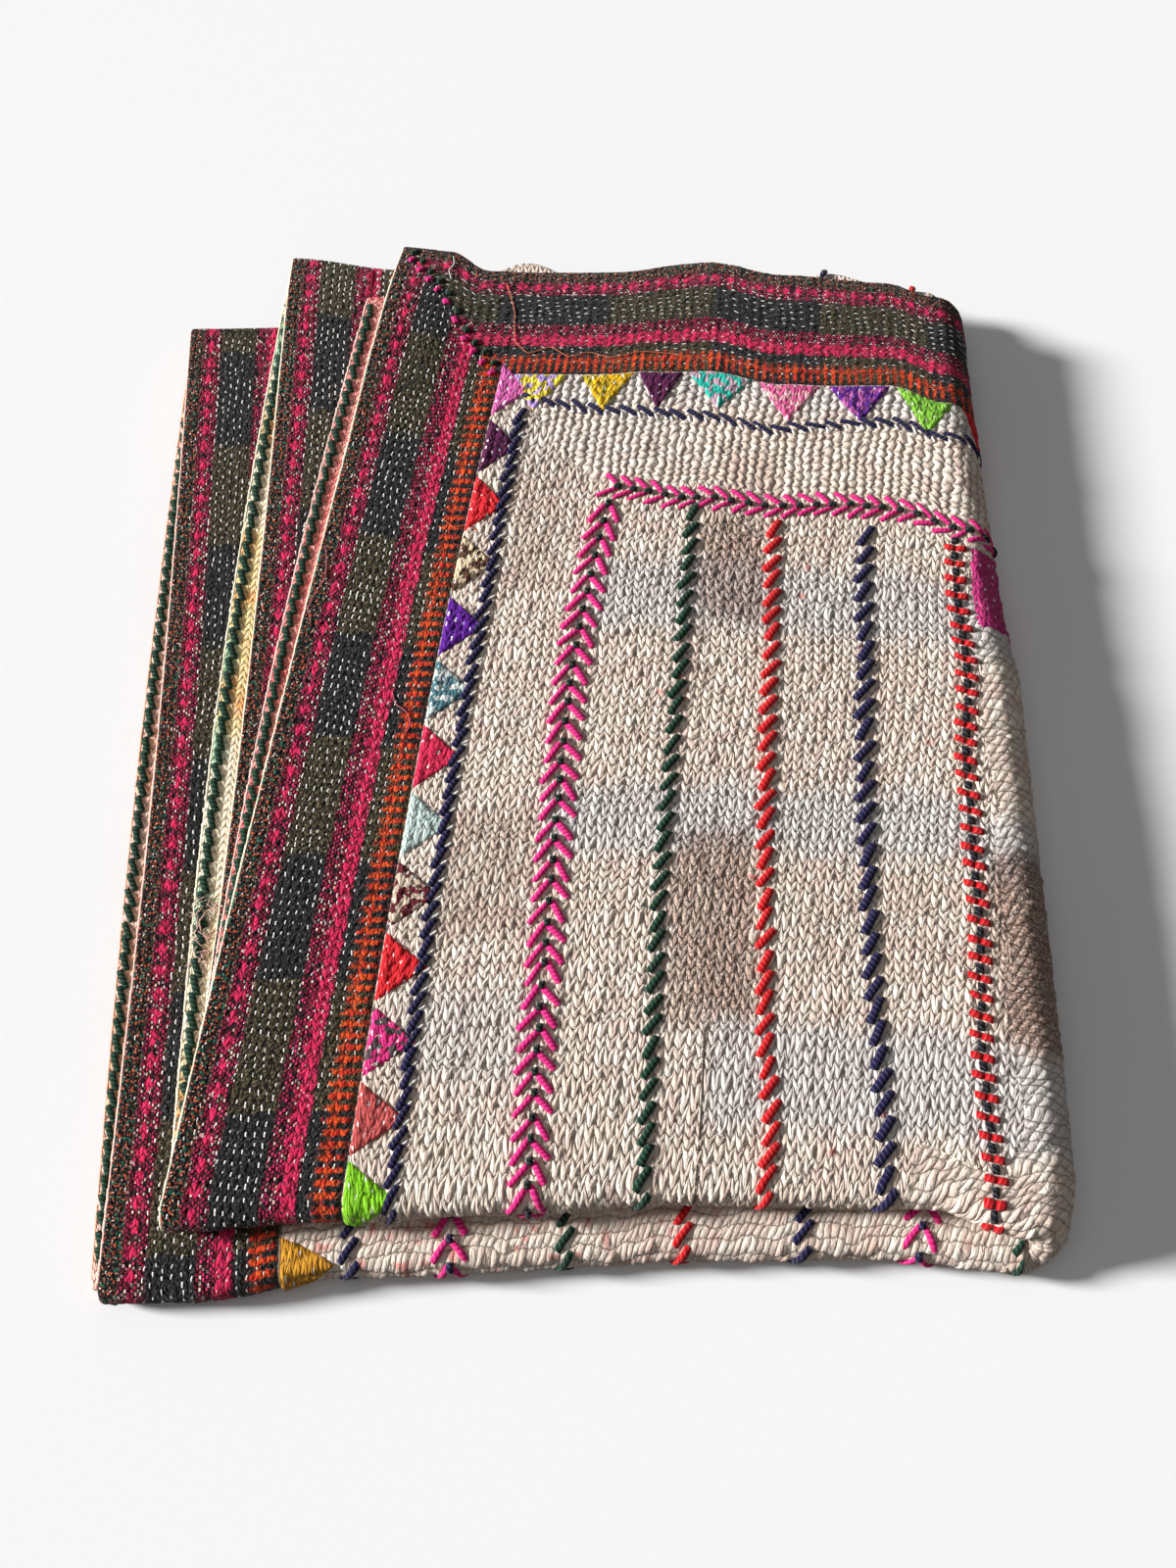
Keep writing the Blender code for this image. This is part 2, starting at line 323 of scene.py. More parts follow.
def ripples(across, down, rows):
    """Height of cloth puckered between rows that run down, 0 in the creases to 1."""
    column = across / rows.space
    x = column - np.floor(column) - 0.5
    run = down / rows.pitch + rows.lean * np.abs(2.0 * x) + rows.slope * x
    run = run + rows.shift * np.floor(column)
    y = run - np.floor(run) - 0.5
    vary = np.random.default_rng(5).uniform(0.50, 1.30, (61, 67))
    vary = vary[np.floor(run).astype(int) % 61, np.floor(column).astype(int) % 67]
    ridge = mix(rows.between_stitches, 1.0, np.cos(math.pi * y) ** 0.5)
    return vary * ridge * mix(rows.between_rows, 1.0, np.cos(math.pi * x) ** 0.42)


def row_kind(across, down):
    """0 where the centre's rows run down, 0.5 where they run across in stacks, 1 in slabs."""
    across = across + 0.006 * unevenness(across, down, 0.030, 8)
    down = down + 0.006 * unevenness(across, down, 0.030, 9)
    inset_across, inset_down = insets(across, down)
    at_end = eased((STACKS_END - inset_down) / KIND_SOFT)
    at_end = at_end * eased((inset_across - inset_down) / KIND_SOFT)
    ragged = 0.010 * unevenness(across, down, 0.060, 10)
    slabs_from = mix(*SLABS_FROM, eased(down / F1))
    right = eased((across + 0.4 * ragged - slabs_from) / KIND_SOFT)
    corner = eased((down + ragged - SLAB_CORNER[1]) / KIND_SOFT)
    corner = corner * eased((across + ragged - SLAB_CORNER[0]) / KIND_SOFT)
    corner = corner * (down < F1 + 0.020)
    return np.maximum(0.5 * at_end, np.maximum(corner, right) * (1.0 - at_end))


def puffs(across, down):
    """Height of the centre's puffs."""
    sewn_across, sewn_down = sewn(across, down)
    kind = row_kind(across, down)
    lengthwise = ripples(sewn_across, sewn_down, LENGTHWISE)
    stacked = ripples(sewn_down, sewn_across, STACKED)
    slabs = ripples(sewn_down, sewn_across, SLABS)
    made = mix(lengthwise, stacked, np.clip(2.0 * kind, 0.0, 1.0))
    return mix(made, slabs, np.clip(2.0 * kind - 1.0, 0.0, 1.0))


def quilted_rows(across, down):
    """Height of cloth sewn in rows that follow the border."""
    from_side, from_end = insets(*sewn(across, down))
    beside = from_side < from_end
    run = np.where(beside, down, across)
    return ripples(np.minimum(from_side, from_end), run, IN_BORDER)


def off_the_seam(across, down):
    """0 on the seam between border and centre to 1 away from it."""
    from_side, from_end = insets(across, down)
    return eased(np.abs(np.minimum(from_side, from_end) - BORDER) / 0.0030)


def centre_relief(across, down):
    relief = PUFF * puffs(across, down) + 0.0004 * unevenness(across, down, 0.030, 6)
    return LEAST + relief * off_the_seam(across, down)


def border_relief(across, down):
    relief = BORDER_PUFF * quilted_rows(across, down) + 0.0003 * unevenness(across, down, 0.011, 7)
    return LEAST + relief * off_the_seam(across, down)


def backing_relief(across, down):
    return 0.0002 + BACKING_PUFF * quilted_rows(across, down)


# ---- pieces of cloth ---------------------------------------------------------

def stations(start, end, step, finer=()):
    """Places from start to end a step apart, or closer over the finer spans (low, high, step)."""
    cuts = {start, end}
    for low, high, close in finer:
        cuts |= {cut for cut in (low, high) if start < cut < end}
    cuts = sorted(cuts)
    runs = []
    for low, high in zip(cuts, cuts[1:]):
        middle = (low + high) / 2
        near = min([close for lo, hi, close in finer if lo < middle < hi] + [step])
        count = max(1, math.ceil((high - low) / near - 1e-6))
        runs.append(np.linspace(low, high, count + 1)[:-1])
    return np.concatenate(runs + [[end]])


HEM_STEPS = ((0.0, HEM_ROUND, 0.0007), (ACROSS - HEM_ROUND, ACROSS, 0.0007))
END_STEPS = ((0.0, HEM_ROUND, 0.0007), (DOWN - HEM_ROUND, DOWN, 0.0007))
FOLD_STEPS = ((F1, F2, 0.0024), (F3, F4, 0.0015), (F5, F6, 0.0015))
TURN_STEPS = ((UPPER, LOWER, 0.0040),)


def cloth_points(across, down, side, relief):
    """Points on one side of the cloth, thinning to its middle at the hems."""
    from_side, from_end = insets(across, down)
    rounds = [np.sqrt(1.0 - (1.0 - np.clip(d / HEM_ROUND, 0, 1)) ** 2) for d in (from_side, from_end)]
    return fold(across, down, side * rounds[0] * rounds[1] * (SURFACE + relief(across, down)))


def new_piece(name, mesh, material, slot):
    mesh.shade_smooth()
    mesh.materials.clear()
    mesh.materials.append(material)
    piece = bpy.data.objects.new(name, mesh)
    bpy.context.scene.collection.objects.link(piece)
    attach(piece, "root")
    return piece


def add_places(mesh, faces, across, down):
    """UV maps of the flat places and of the sewn ones, in metres."""
    corners = faces.ravel()
    for layer_name, (u, v) in {"flat": (across, down), "sewn": sewn(across, down)}.items():
        layer = mesh.uv_layers.new(name=layer_name)
        layer.uv.foreach_set("vector", np.stack((u, v), 1)[corners].astype(np.float32).ravel())


def add_colour(mesh, name, colours):
    layer = mesh.color_attributes.new(name, "FLOAT_COLOR", "POINT")
    filled = np.ones((len(colours), 4), np.float32)
    filled[:, :colours.shape[1]] = colours
    layer.data.foreach_set("color", filled.ravel())


def mesh_of(name, points, faces):
    mesh = bpy.data.meshes.new(name)
    mesh.vertices.add(len(points))
    mesh.vertices.foreach_set("co", points.astype(np.float32).ravel())
    mesh.loops.add(faces.size)
    mesh.loops.foreach_set("vertex_index", faces.astype(np.int32).ravel())
    mesh.polygons.add(len(faces))
    starts = np.arange(0, faces.size, faces.shape[1], dtype=np.int32)
    mesh.polygons.foreach_set("loop_start", starts)
    mesh.update(calc_edges=True)
    return mesh


def cloth(name, side, patches, relief, material, slot, colour=None):
    """One side of the cloth over patches of the flat sheet, each (across, down) stations."""
    all_points, all_faces, all_across, all_down, first = [], [], [], [], 0
    for across, down in patches:
        a, d = np.meshgrid(across, down)
        n = first + np.arange(a.size).reshape(a.shape)
        faces = np.stack((n[:-1, :-1], n[1:, :-1], n[1:, 1:], n[:-1, 1:]), -1).reshape(-1, 4)
        all_faces.append(faces if side > 0 else faces[:, ::-1])
        all_points.append(cloth_points(a, d, side, relief).reshape(-1, 3))
        all_across.append(a.ravel())
        all_down.append(d.ravel())
        first += a.size
    points, faces = np.concatenate(all_points), np.concatenate(all_faces)
    across, down = np.concatenate(all_across), np.concatenate(all_down)
    mesh = mesh_of(name, points, faces)
    add_places(mesh, faces, across, down)
    if colour:
        add_colour(mesh, "tone", colour(across, down))
    piece = new_piece(name, mesh, material, slot)
    area = sum((a[-1] - a[0]) * (d[-1] - d[0]) for a, d in patches)
    width = max(a[-1] for a, d in patches) - min(a[0] for a, d in patches)
    length = max(d[-1] for a, d in patches) - min(d[0] for a, d in patches)
    return piece


# ---- wiring shaders ----------------------------------------------------------

def srgb(red, green, blue):
    """A linear colour for one given in 0 to 255."""
    values = [value / 255 for value in (red, green, blue)]
    return tuple(v / 12.92 if v <= 0.04045 else ((v + 0.055) / 1.055) ** 2.4 for v in values)


class Wiring:
    """Nodes of one tree. A value given is a socket to link, or a constant to set."""

    def __init__(self, tree):
        self.tree = tree

    def set(self, socket, value):
        if isinstance(value, bpy.types.NodeSocket):
            self.tree.links.new(value, socket)
        elif value is not None:
            if isinstance(value, tuple) and len(value) == 3 and socket.type == "RGBA":
                value = (*value, 1.0)
            socket.default_value = value

    def node(self, kind, inputs=(), **settings):
        made = self.tree.nodes.new(kind)
        for key, value in settings.items():
            setattr(made, key, value)
        for key, value in dict(inputs).items():
            self.set(made.inputs[key], value)
        return made

    def calc(self, operation, *values):
        made = self.node("ShaderNodeMath", operation=operation)
        for socket, value in zip(made.inputs, values):
            self.set(socket, value)
        return made.outputs[0]

    def total(self, *values):
        made = values[0]
        for value in values[1:]:
            made = self.calc("ADD", made, value)
        return made

    def product(self, *values):
        made = values[0]
        for value in values[1:]:
            made = self.calc("MULTIPLY", made, value)
        return made

    def ramp(self, value, low, high, to_low=0.0, to_high=1.0):
        inputs = {"Value": value, "From Min": low, "From Max": high, "To Min": to_low, "To Max": to_high}
        return self.node("ShaderNodeMapRange", inputs, interpolation_type="SMOOTHSTEP").outputs[0]

    def band(self, value, low, high, soft):
        """1 between low and high, 0 outside."""
        rise = self.ramp(value, low - soft, low + soft)
        return self.product(rise, self.ramp(value, high - soft, high + soft, 1.0, 0.0))

    def wave(self, value, pitch, shift=0.0):
        """Place along each repeat, -0.5 to 0.5."""
        return self.centred(self.calc("ADD", self.calc("DIVIDE", value, pitch), shift))

    def centred(self, turns):
        """Place within each whole turn, -0.5 to 0.5."""
        return self.calc("SUBTRACT", self.calc("FRACT", turns), 0.5)

    def swing(self, share, size):
        """A share turned to a move either way, half of size at most."""
        return self.product(self.calc("SUBTRACT", share, 0.5), size)

    def rest(self, share):
        return self.calc("SUBTRACT", 1.0, share)

    def attribute(self, name):
        return self.node("ShaderNodeAttribute", attribute_name=name).outputs

    def mix(self, factor, under, over, blend="MIX"):
        made = self.node("ShaderNodeMix", data_type="RGBA", blend_type=blend)
        for number, value in zip((0, 6, 7), (factor, under, over)):
            self.set(made.inputs[number], value)
        return made.outputs[2]

    def joined(self, x, y, z=0.0):
        return self.node("ShaderNodeCombineXYZ", {"X": x, "Y": y, "Z": z}).outputs[0]

    def noise(self, place, scale, detail=2.0, rough=0.5):
        inputs = {"Vector": place, "Scale": scale, "Detail": detail, "Roughness": rough}
        return self.node("ShaderNodeTexNoise", inputs).outputs[0]

    def speckle(self, place):
        return self.node("ShaderNodeTexWhiteNoise", {"Vector": place}, noise_dimensions="3D").outputs[0]

    def group(self, tree, **inputs):
        made = self.node("ShaderNodeGroup", node_tree=tree)
        for key, value in inputs.items():
            self.set(made.inputs[key.replace("_", " ")], value)
        return made.outputs

    def uv(self, name):
        """Across and down of one of the cloth's own maps."""
        apart = self.node("ShaderNodeSeparateXYZ")
        self.tree.links.new(self.node("ShaderNodeUVMap", uv_map=name).outputs[0], apart.inputs[0])
        return apart.outputs[0], apart.outputs[1]

    def bump(self, height, distance, strength=1.0, below=None):
        made = self.node("ShaderNodeBump", {"Height": height, "Distance": distance, "Strength": strength})
        self.set(made.inputs["Normal"], below)
        return made.outputs[0]


def shader_group(name, inputs, outputs):
    """An empty group with named sockets, its wiring, and its inputs by name."""
    tree = bpy.data.node_groups.new(name, "ShaderNodeTree")
    for socket_name, value in inputs.items():
        socket = tree.interface.new_socket(socket_name, in_out="INPUT", socket_type="NodeSocketFloat")
        socket.default_value = value
    for socket_name, kind in outputs.items():
        tree.interface.new_socket(socket_name, in_out="OUTPUT", socket_type=f"NodeSocket{kind}")
    wiring = Wiring(tree)
    given = wiring.node("NodeGroupInput").outputs
    taken = wiring.node("NodeGroupOutput").inputs
    return tree, wiring, given, taken


def slanted_ripples(wire, across, down, rows, space=None, pitch=None):
    """Height, middle crease and cell of cloth puckered between rows that run down."""
    column = wire.calc("DIVIDE", across, space or rows.space)
    whole = wire.calc("FLOOR", column)
    x = wire.centred(column)
    aside = wire.calc("ABSOLUTE", x)
    run = wire.total(wire.calc("DIVIDE", down, pitch or rows.pitch), wire.product(aside, 2.0 * rows.lean),
                     wire.product(x, rows.slope), wire.product(whole, rows.shift))
    y = wire.centred(run)
    ridge = wire.calc("POWER", wire.calc("COSINE", wire.product(y, math.pi)), 0.5)
    ridge = wire.total(wire.product(ridge, 1.0 - rows.between_stitches), rows.between_stitches)
    pinch = wire.calc("POWER", wire.calc("COSINE", wire.product(x, math.pi)), 0.42)
    pinch = wire.total(wire.product(pinch, 1.0 - rows.between_rows), rows.between_rows)
    parting = wire.product(wire.ramp(aside, 0.02, 0.16, 1.0, 0.0), wire.ramp(y, -0.30, 0.40))
    return wire.product(ridge, pinch), parting, wire.joined(whole, wire.calc("FLOOR", run))


def puckered_puffs():
    """Puffs between rows of running stitches. Kind: 0 along the rows, 0.5 in stacks, 1 in slabs."""
    tree, wire, given, taken = shader_group(
        "Puckered puffs",
        {"Across": 0.0, "Down": 0.0, "Kind": 0.0,
         "Row space": LENGTHWISE.space, "Stitch pitch": LENGTHWISE.pitch},
        {"Height": "Float", "Crease shade": "Float", "Puff shade": "Float"},
    )
    place = wire.joined(given["Across"], given["Down"])
    bend = wire.swing(wire.noise(place, 300.0, 1.0), 0.0024)
    down = wire.total(given["Down"], bend)
    sway = wire.swing(wire.noise(place, 240.0, 1.0), 0.0016)
    across = wire.total(given["Across"], sway)
    height, parting, cell = slanted_ripples(
        wire, across, down, LENGTHWISE, given["Row space"], given["Stitch pitch"])
    height = wire.calc("SUBTRACT", height, wire.product(parting, 0.40))
    for rows, least in ((STACKED, 0.25), (SLABS, 0.75)):
        turned, _, turned_cell = slanted_ripples(wire, down, across, rows)
        here = wire.calc("GREATER_THAN", given["Kind"], least)
        away = wire.rest(here)
        height = wire.total(wire.product(height, away), wire.product(turned, here))
        cell = wire.mix(here, cell, turned_cell)
    wrinkles = wire.calc("SUBTRACT", wire.noise(place, 900.0, 2.0, 0.6), 0.5)
    height = wire.total(height, wire.product(wrinkles, 0.55))
    wire.set(taken["Height"], height)
    # Painted shade: how far the creases are darkened, most where the cloth lies lowest.
    wire.set(taken["Crease shade"], wire.ramp(height, 0.0, 0.48, 1.0, 0.0))
    wire.set(taken["Puff shade"], wire.speckle(cell))
    return tree


def running_rows():
    """Staggered running stitches in rows: where they show, and the puckers between."""
    tree, wire, given, taken = shader_group(
        "Running rows",
        {"Inset": 0.0, "Along": 0.0, "Row space": ROW_SPACE, "Stitch pitch": RUN_PITCH},
        {"Stitch": "Float", "Height": "Float"},
    )
    height, _, cell = slanted_ripples(
        wire, given["Inset"], given["Along"], IN_BORDER, given["Row space"], given["Stitch pitch"])
    wire.set(taken["Height"], height)
    row = wire.calc("DIVIDE", given["Inset"], given["Row space"])
    nearest = wire.calc("ROUND", row)
    from_row = wire.calc("ABSOLUTE", wire.calc("SUBTRACT", row, nearest))
    run = wire.calc("DIVIDE", given["Along"], given["Stitch pitch"])
    run = wire.total(run, wire.product(wire.calc("FLOORED_MODULO", nearest, 2.0), 0.5))
    from_middle = wire.calc("ABSOLUTE", wire.centred(run))
    across = wire.ramp(from_row, 0.09, 0.15, 1.0, 0.0)
    wire.set(taken["Stitch"], wire.product(across, wire.ramp(from_middle, 0.17, 0.22, 1.0, 0.0)))
    return tree


def woven_threads():
    """A plain weave: its height, and the shade of one thread beside the next."""
    tree, wire, given, taken = shader_group(
        "Woven threads",
        {"Across": 0.0, "Down": 0.0, "Thread": 0.0006},
        {"Height": "Float", "Over": "Float", "Slub": "Float"},
    )
    column = wire.calc("DIVIDE", given["Across"], given["Thread"])
    row = wire.calc("DIVIDE", given["Down"], given["Thread"])
    x = wire.centred(column)
    y = wire.centred(row)
    whole = wire.total(wire.calc("FLOOR", column), wire.calc("FLOOR", row))
    over = wire.calc("FLOORED_MODULO", whole, 2.0)
    along_warp = wire.calc("COSINE", wire.product(x, math.pi))
    along_weft = wire.calc("COSINE", wire.product(y, math.pi))
    height = wire.total(
        wire.product(over, along_warp), wire.product(wire.rest(over), along_weft)
    )
    wire.set(taken["Height"], height)
    wire.set(taken["Over"], over)
    cell = wire.joined(wire.calc("FLOOR", column), wire.calc("FLOOR", row))
    wire.set(taken["Slub"], wire.speckle(cell))
    return tree


def hand_unevenness():
    """Slow changes of shade, as washing and wear leave them."""
    tree, wire, given, taken = shader_group(
        "Hand unevenness",
        {"Across": 0.0, "Down": 0.0, "Patch size": 0.02, "Fibre size": 0.0015},
        {"Wear": "Float", "Fibre": "Float"},
    )
    place = wire.joined(given["Across"], given["Down"])
    wire.set(taken["Wear"], wire.noise(place, wire.calc("DIVIDE", 1.0, given["Patch size"]), 3.0, 0.6))
    wire.set(taken["Fibre"], wire.noise(place, wire.calc("DIVIDE", 1.0, given["Fibre size"]), 3.0, 0.7))
    return tree


PUFFED = puckered_puffs()
ROWS = running_rows()
WOVEN = woven_threads()
UNEVEN = hand_unevenness()

# ---- colours -----------------------------------------------------------------

BEIGE = srgb(232, 212, 194)
BEIGE_PALE = srgb(243, 229, 213)
BEIGE_ROSE = srgb(228, 202, 188)
BLUE_GREY = srgb(198, 200, 204)
BROWN_CHECK = srgb(120, 82, 68)
FADED_RED = srgb(206, 84, 80)
# painted shade, laid into the creases between the puffs
CREASE_SHADE = srgb(70, 52, 42)
CHARCOAL = srgb(20, 20, 21)
# lighter fibre of the lumps, partly painted highlight on the raised ones
CHARCOAL_LUMP_AND_HIGHLIGHT = srgb(74, 74, 75)
OLIVE = srgb(38, 32, 20)
# lighter fibre of the lumps, partly painted highlight on the raised ones
OLIVE_LUMP_AND_HIGHLIGHT = srgb(106, 95, 68)
MAROON = srgb(36, 6, 18)
CRIMSON = srgb(188, 24, 70)
BRIGHT_PINK = srgb(228, 44, 108)
ROSE_RED = srgb(214, 26, 70)
# black of the flecked band's ground, and also painted shade in the creases of border and patches
BLACK_AND_CREASE_SHADE = srgb(14, 12, 11)
RUST = srgb(176, 74, 44)
BOTTLE = srgb(20, 92, 68)
ORANGE = srgb(232, 84, 26)
ORANGE_RED = srgb(206, 46, 24)
CREAM = srgb(242, 230, 200)
STRAW = srgb(236, 214, 150)
PEACH = srgb(240, 180, 146)
APRICOT = srgb(232, 166, 96)
MINT = srgb(146, 206, 168)
SALMON = srgb(232, 112, 112)
SALMON_PALE = srgb(246, 200, 186)
NAVY = srgb(18, 12, 62)
WOOL_RED = srgb(200, 6, 18)
WOOL_GREEN = srgb(4, 52, 34)
INK = srgb(10, 12, 26)
INK_GREEN = srgb(4, 30, 24)
HOT_PINK = srgb(228, 34, 128)
THREAD_WHITE = srgb(250, 247, 240)


# ---- finishes ----------------------------------------------------------------

def finish_of(name, roughness, sheen=0.0):
    """A material with its wiring, its Principled shader's inputs set to a cloth's."""
    material = bpy.data.materials.new(name)
    material.use_nodes = True
    wire = Wiring(material.node_tree)
    shader = material.node_tree.nodes["Principled BSDF"].inputs
    shader["Roughness"].default_value = roughness
    shader["Sheen Weight"].default_value = sheen
    shader["Specular IOR Level"].default_value = 0.25
    return material, wire, shader


def washed_centre():
    """Faded beige cotton in puckered rows, with grey and brown checks washed thin, and painted shade in its
    creases.
    """
    material, wire, shader = finish_of("Washed beige cotton", 0.92, 0.08)
    across, down = wire.uv("flat")
    sewn_across, sewn_down = wire.uv("sewn")
    tones = wire.attribute("tone")
    puffed = wire.group(PUFFED, Across=sewn_across, Down=sewn_down, Kind=tones["Alpha"])
    wear = wire.group(UNEVEN, Across=across, Down=down, Patch_size=0.030)
    weave = wire.group(WOVEN, Across=across, Down=down, Thread=0.00055)
    tone = wire.node("ShaderNodeSeparateColor")
    wire.set(tone.inputs[0], tones["Color"])
    grey, brown, red = tone.outputs
    colour = wire.mix(wire.ramp(wear["Wear"], 0.35, 0.65), BEIGE, BEIGE_ROSE)
    colour = wire.mix(wire.ramp(puffed["Puff shade"], 0.35, 1.0), colour, BEIGE_PALE)
    colour = wire.mix(wire.product(grey, 0.75), colour, BLUE_GREY)
    threads = wire.total(wire.product(weave["Slub"], 0.5), wire.ramp(wear["Fibre"], 0.3, 0.7))
    colour = wire.mix(wire.product(brown, wire.ramp(threads, 0.2, 1.1, 0.25, 1.0)), colour, BROWN_CHECK)
    colour = wire.mix(wire.product(red, 0.8), colour, FADED_RED)
    # Painted shade: the creases between the puffs darkened towards the shade colour.
    colour = wire.mix(wire.product(puffed["Crease shade"], 0.80), colour, CREASE_SHADE)
    wire.set(shader["Base Color"], colour)
    fine = wire.bump(wire.total(weave["Height"], wire.product(wear["Fibre"], 1.5)), 0.00008, 0.7)
    wire.set(shader["Normal"], wire.bump(puffed["Height"], 0.0017, 1.0, fine))
    return material


# Bands of the plaid, as shares of the border's width from the hem inwards.
FLECKED, FIRST_PINK, SECOND_PINK = (-0.2, 0.118), (0.122, 0.262), (0.545, 0.748)
TOOTHED, SPINE = (0.835, 0.975), (0.866, 0.902)
LOZENGES_AT, CHAIN_AT = 0.178, 0.692  # middles of the lozenges and of the waving chain
FLOAT_WIDTH, FLOAT_LENGTH = 0.0015, 0.0026


def dotted_columns(wire, inset, length):
    """Columns of short floats, crimson, pink and pale, on a dark ground."""
    column = wire.calc("DIVIDE", inset, FLOAT_WIDTH)
    shift = wire.product(wire.calc("FLOORED_MODULO", wire.calc("FLOOR", column), 2.0), 0.5)
    row = wire.total(wire.calc("DIVIDE", length, FLOAT_LENGTH), shift)
    x = wire.calc("ABSOLUTE", wire.centred(column))
    y = wire.calc("ABSOLUTE", wire.centred(row))
    shown = wire.product(wire.ramp(x, 0.24, 0.40, 1.0, 0.0), wire.ramp(y, 0.22, 0.38, 1.0, 0.0))
    shade = wire.speckle(wire.joined(wire.calc("FLOOR", column), wire.calc("FLOOR", row)))
    shown = wire.product(shown, wire.ramp(shade, 0.10, 0.14))
    dye = wire.mix(wire.ramp(shade, 0.52, 0.56), CRIMSON, BRIGHT_PINK)
    dye = wire.mix(wire.ramp(shade, 0.80, 0.84), dye, SALMON_PALE)
    return wire.mix(shown, MAROON, dye), shown


def plaid_bands():
    """The border's striped plaid, from its hem inwards."""
    tree, wire, given, taken = shader_group(
        "Plaid bands",
        {"Inset": 0.0, "Along": 0.0, "First block": SIDE_BLOCKS[0], "Block length": SIDE_BLOCKS[1]},
        {"Colour": "Color", "Height": "Float"},
    )
    inset, length = given["Inset"], given["Along"]
    place = wire.joined(inset, length)
    lumps = wire.noise(place, 620.0, 2.0, 0.6)
    patches = wire.noise(place, 900.0, 2.0, 0.7)
    share = wire.calc("DIVIDE", inset, BORDER)
    wander = wire.swing(wire.noise(place, 260.0, 2.0), 0.045)
    share = wire.total(share, wander)

    # Lighter lumps: partly lighter fibre, partly painted highlight, since the same lumps are raised in the
    # bump.
    charcoal = wire.mix(wire.ramp(lumps, 0.48, 0.66), CHARCOAL, CHARCOAL_LUMP_AND_HIGHLIGHT)
    olive = wire.mix(wire.ramp(lumps, 0.44, 0.64), OLIVE, OLIVE_LUMP_AND_HIGHLIGHT)
    turns = wire.calc("DIVIDE", wire.calc("SUBTRACT", length, given["First block"]), given["Block length"])
    turns = wire.total(turns, wire.swing(wire.noise(place, 300.0), 0.10))
    is_olive = wire.ramp(wire.calc("FLOORED_MODULO", turns, 2.0), 0.98, 1.02, 1.0, 0.0)
    colour = wire.mix(is_olive, charcoal, olive)

    flecks = wire.mix(wire.ramp(wire.noise(place, 560.0, 1.0), 0.56, 0.60), BLACK_AND_CREASE_SHADE, RUST)
    flecks = wire.mix(wire.ramp(wire.noise(place, 900.0, 0.0), 0.70, 0.73), flecks, SALMON_PALE)
    flecks = wire.mix(wire.ramp(wire.noise(place, 430.0, 1.0), 0.59, 0.62), flecks, BOTTLE)
    colour = wire.mix(wire.band(share, *FLECKED, 0.012), colour, flecks)

    threads, floats = dotted_columns(wire, inset, length)
    aside = wire.calc("ABSOLUTE", wire.calc("DIVIDE", wire.calc("SUBTRACT", share, LOZENGES_AT), 0.034))
    above = wire.calc("ABSOLUTE", wire.product(wire.wave(length, LOZENGE), 2.7))
    bright = wire.mix(wire.ramp(patches, 0.40, 0.60), BRIGHT_PINK, ROSE_RED)
    bars = wire.ramp(wire.calc("ABSOLUTE", wire.wave(length, 0.0021)), 0.20, 0.32, 1.0, 0.0)
    bars = wire.product(bars, wire.ramp(aside, 1.1, 1.5, 1.0, 0.0))
    by_turns = wire.calc("ABSOLUTE", wire.wave(length, 2 * LOZENGE, 0.25))
    bars = wire.product(bars, wire.ramp(by_turns, 0.10, 0.13, 1.0, 0.0))
    first_pink = wire.mix(bars, threads, CRIMSON)
    lozenge = wire.ramp(wire.total(aside, above), 0.85, 1.15, 1.0, 0.0)
    first_pink = wire.mix(lozenge, first_pink, bright)
    colour = wire.mix(wire.band(share, *FIRST_PINK, 0.010), colour, first_pink)

    sway = wire.product(wire.calc("SINE", wire.product(length, 2 * math.pi / LOZENGE)), 0.016)
    chain = wire.calc("ABSOLUTE", wire.calc("SUBTRACT", share, wire.total(sway, CHAIN_AT)))
    chain = wire.product(wire.ramp(chain, 0.034, 0.056, 1.0, 0.0), wire.ramp(patches, 0.38, 0.48))
    second_pink = wire.mix(chain, threads, bright)
    colour = wire.mix(wire.band(share, *SECOND_PINK, 0.010), colour, second_pink)

    tooth = wire.calc("ABSOLUTE", wire.wave(length, 0.0065))
    ragged = wire.swing(patches, 0.70)
    toothed = wire.ramp(wire.total(tooth, ragged), 0.22, 0.28, 1.0, 0.0)
    torn = wire.swing(wire.noise(place, 420.0, 2.0), 0.16)
    toothed = wire.product(toothed, wire.band(wire.total(share, torn), *TOOTHED, 0.02))
    spine = wire.band(wire.total(share, wire.product(ragged, 0.05)), *SPINE, 0.010)
    toothed = wire.calc("MAXIMUM", toothed, wire.product(spine, wire.ramp(patches, 0.44, 0.54)))
    orange = wire.mix(wire.ramp(wire.noise(place, 200.0), 0.42, 0.60), ORANGE, ORANGE_RED)
    # Partly maroon ground, partly painted shade: the orange darkened towards maroon in the hollows between
    # the lumps.
    orange = wire.mix(wire.ramp(lumps, 0.30, 0.46, 0.6, 0.0), orange, MAROON)
    colour = wire.mix(toothed, colour, orange)
    wire.set(taken["Colour"], colour)
    raised = wire.product(wire.total(toothed, floats), 0.5)
    wire.set(taken["Height"], wire.total(raised, wire.product(lumps, 3.0)))
    return tree


BANDS = plaid_bands()


def border_places(wire, layer_name):
    """Distance in from the hem and along it, mitred at the corners, and 1 beside a long hem."""
    across, down = wire.uv(layer_name)
    from_side = wire.calc("MINIMUM", across, wire.calc("SUBTRACT", ACROSS, across))
    from_end = wire.calc("MINIMUM", down, wire.calc("SUBTRACT", DOWN, down))
    beside = wire.calc("LESS_THAN", from_side, from_end)
    inset = wire.calc("MINIMUM", from_side, from_end)
    run = wire.total(
        wire.product(down, beside), wire.product(across, wire.rest(beside))
    )
    return inset, run, beside


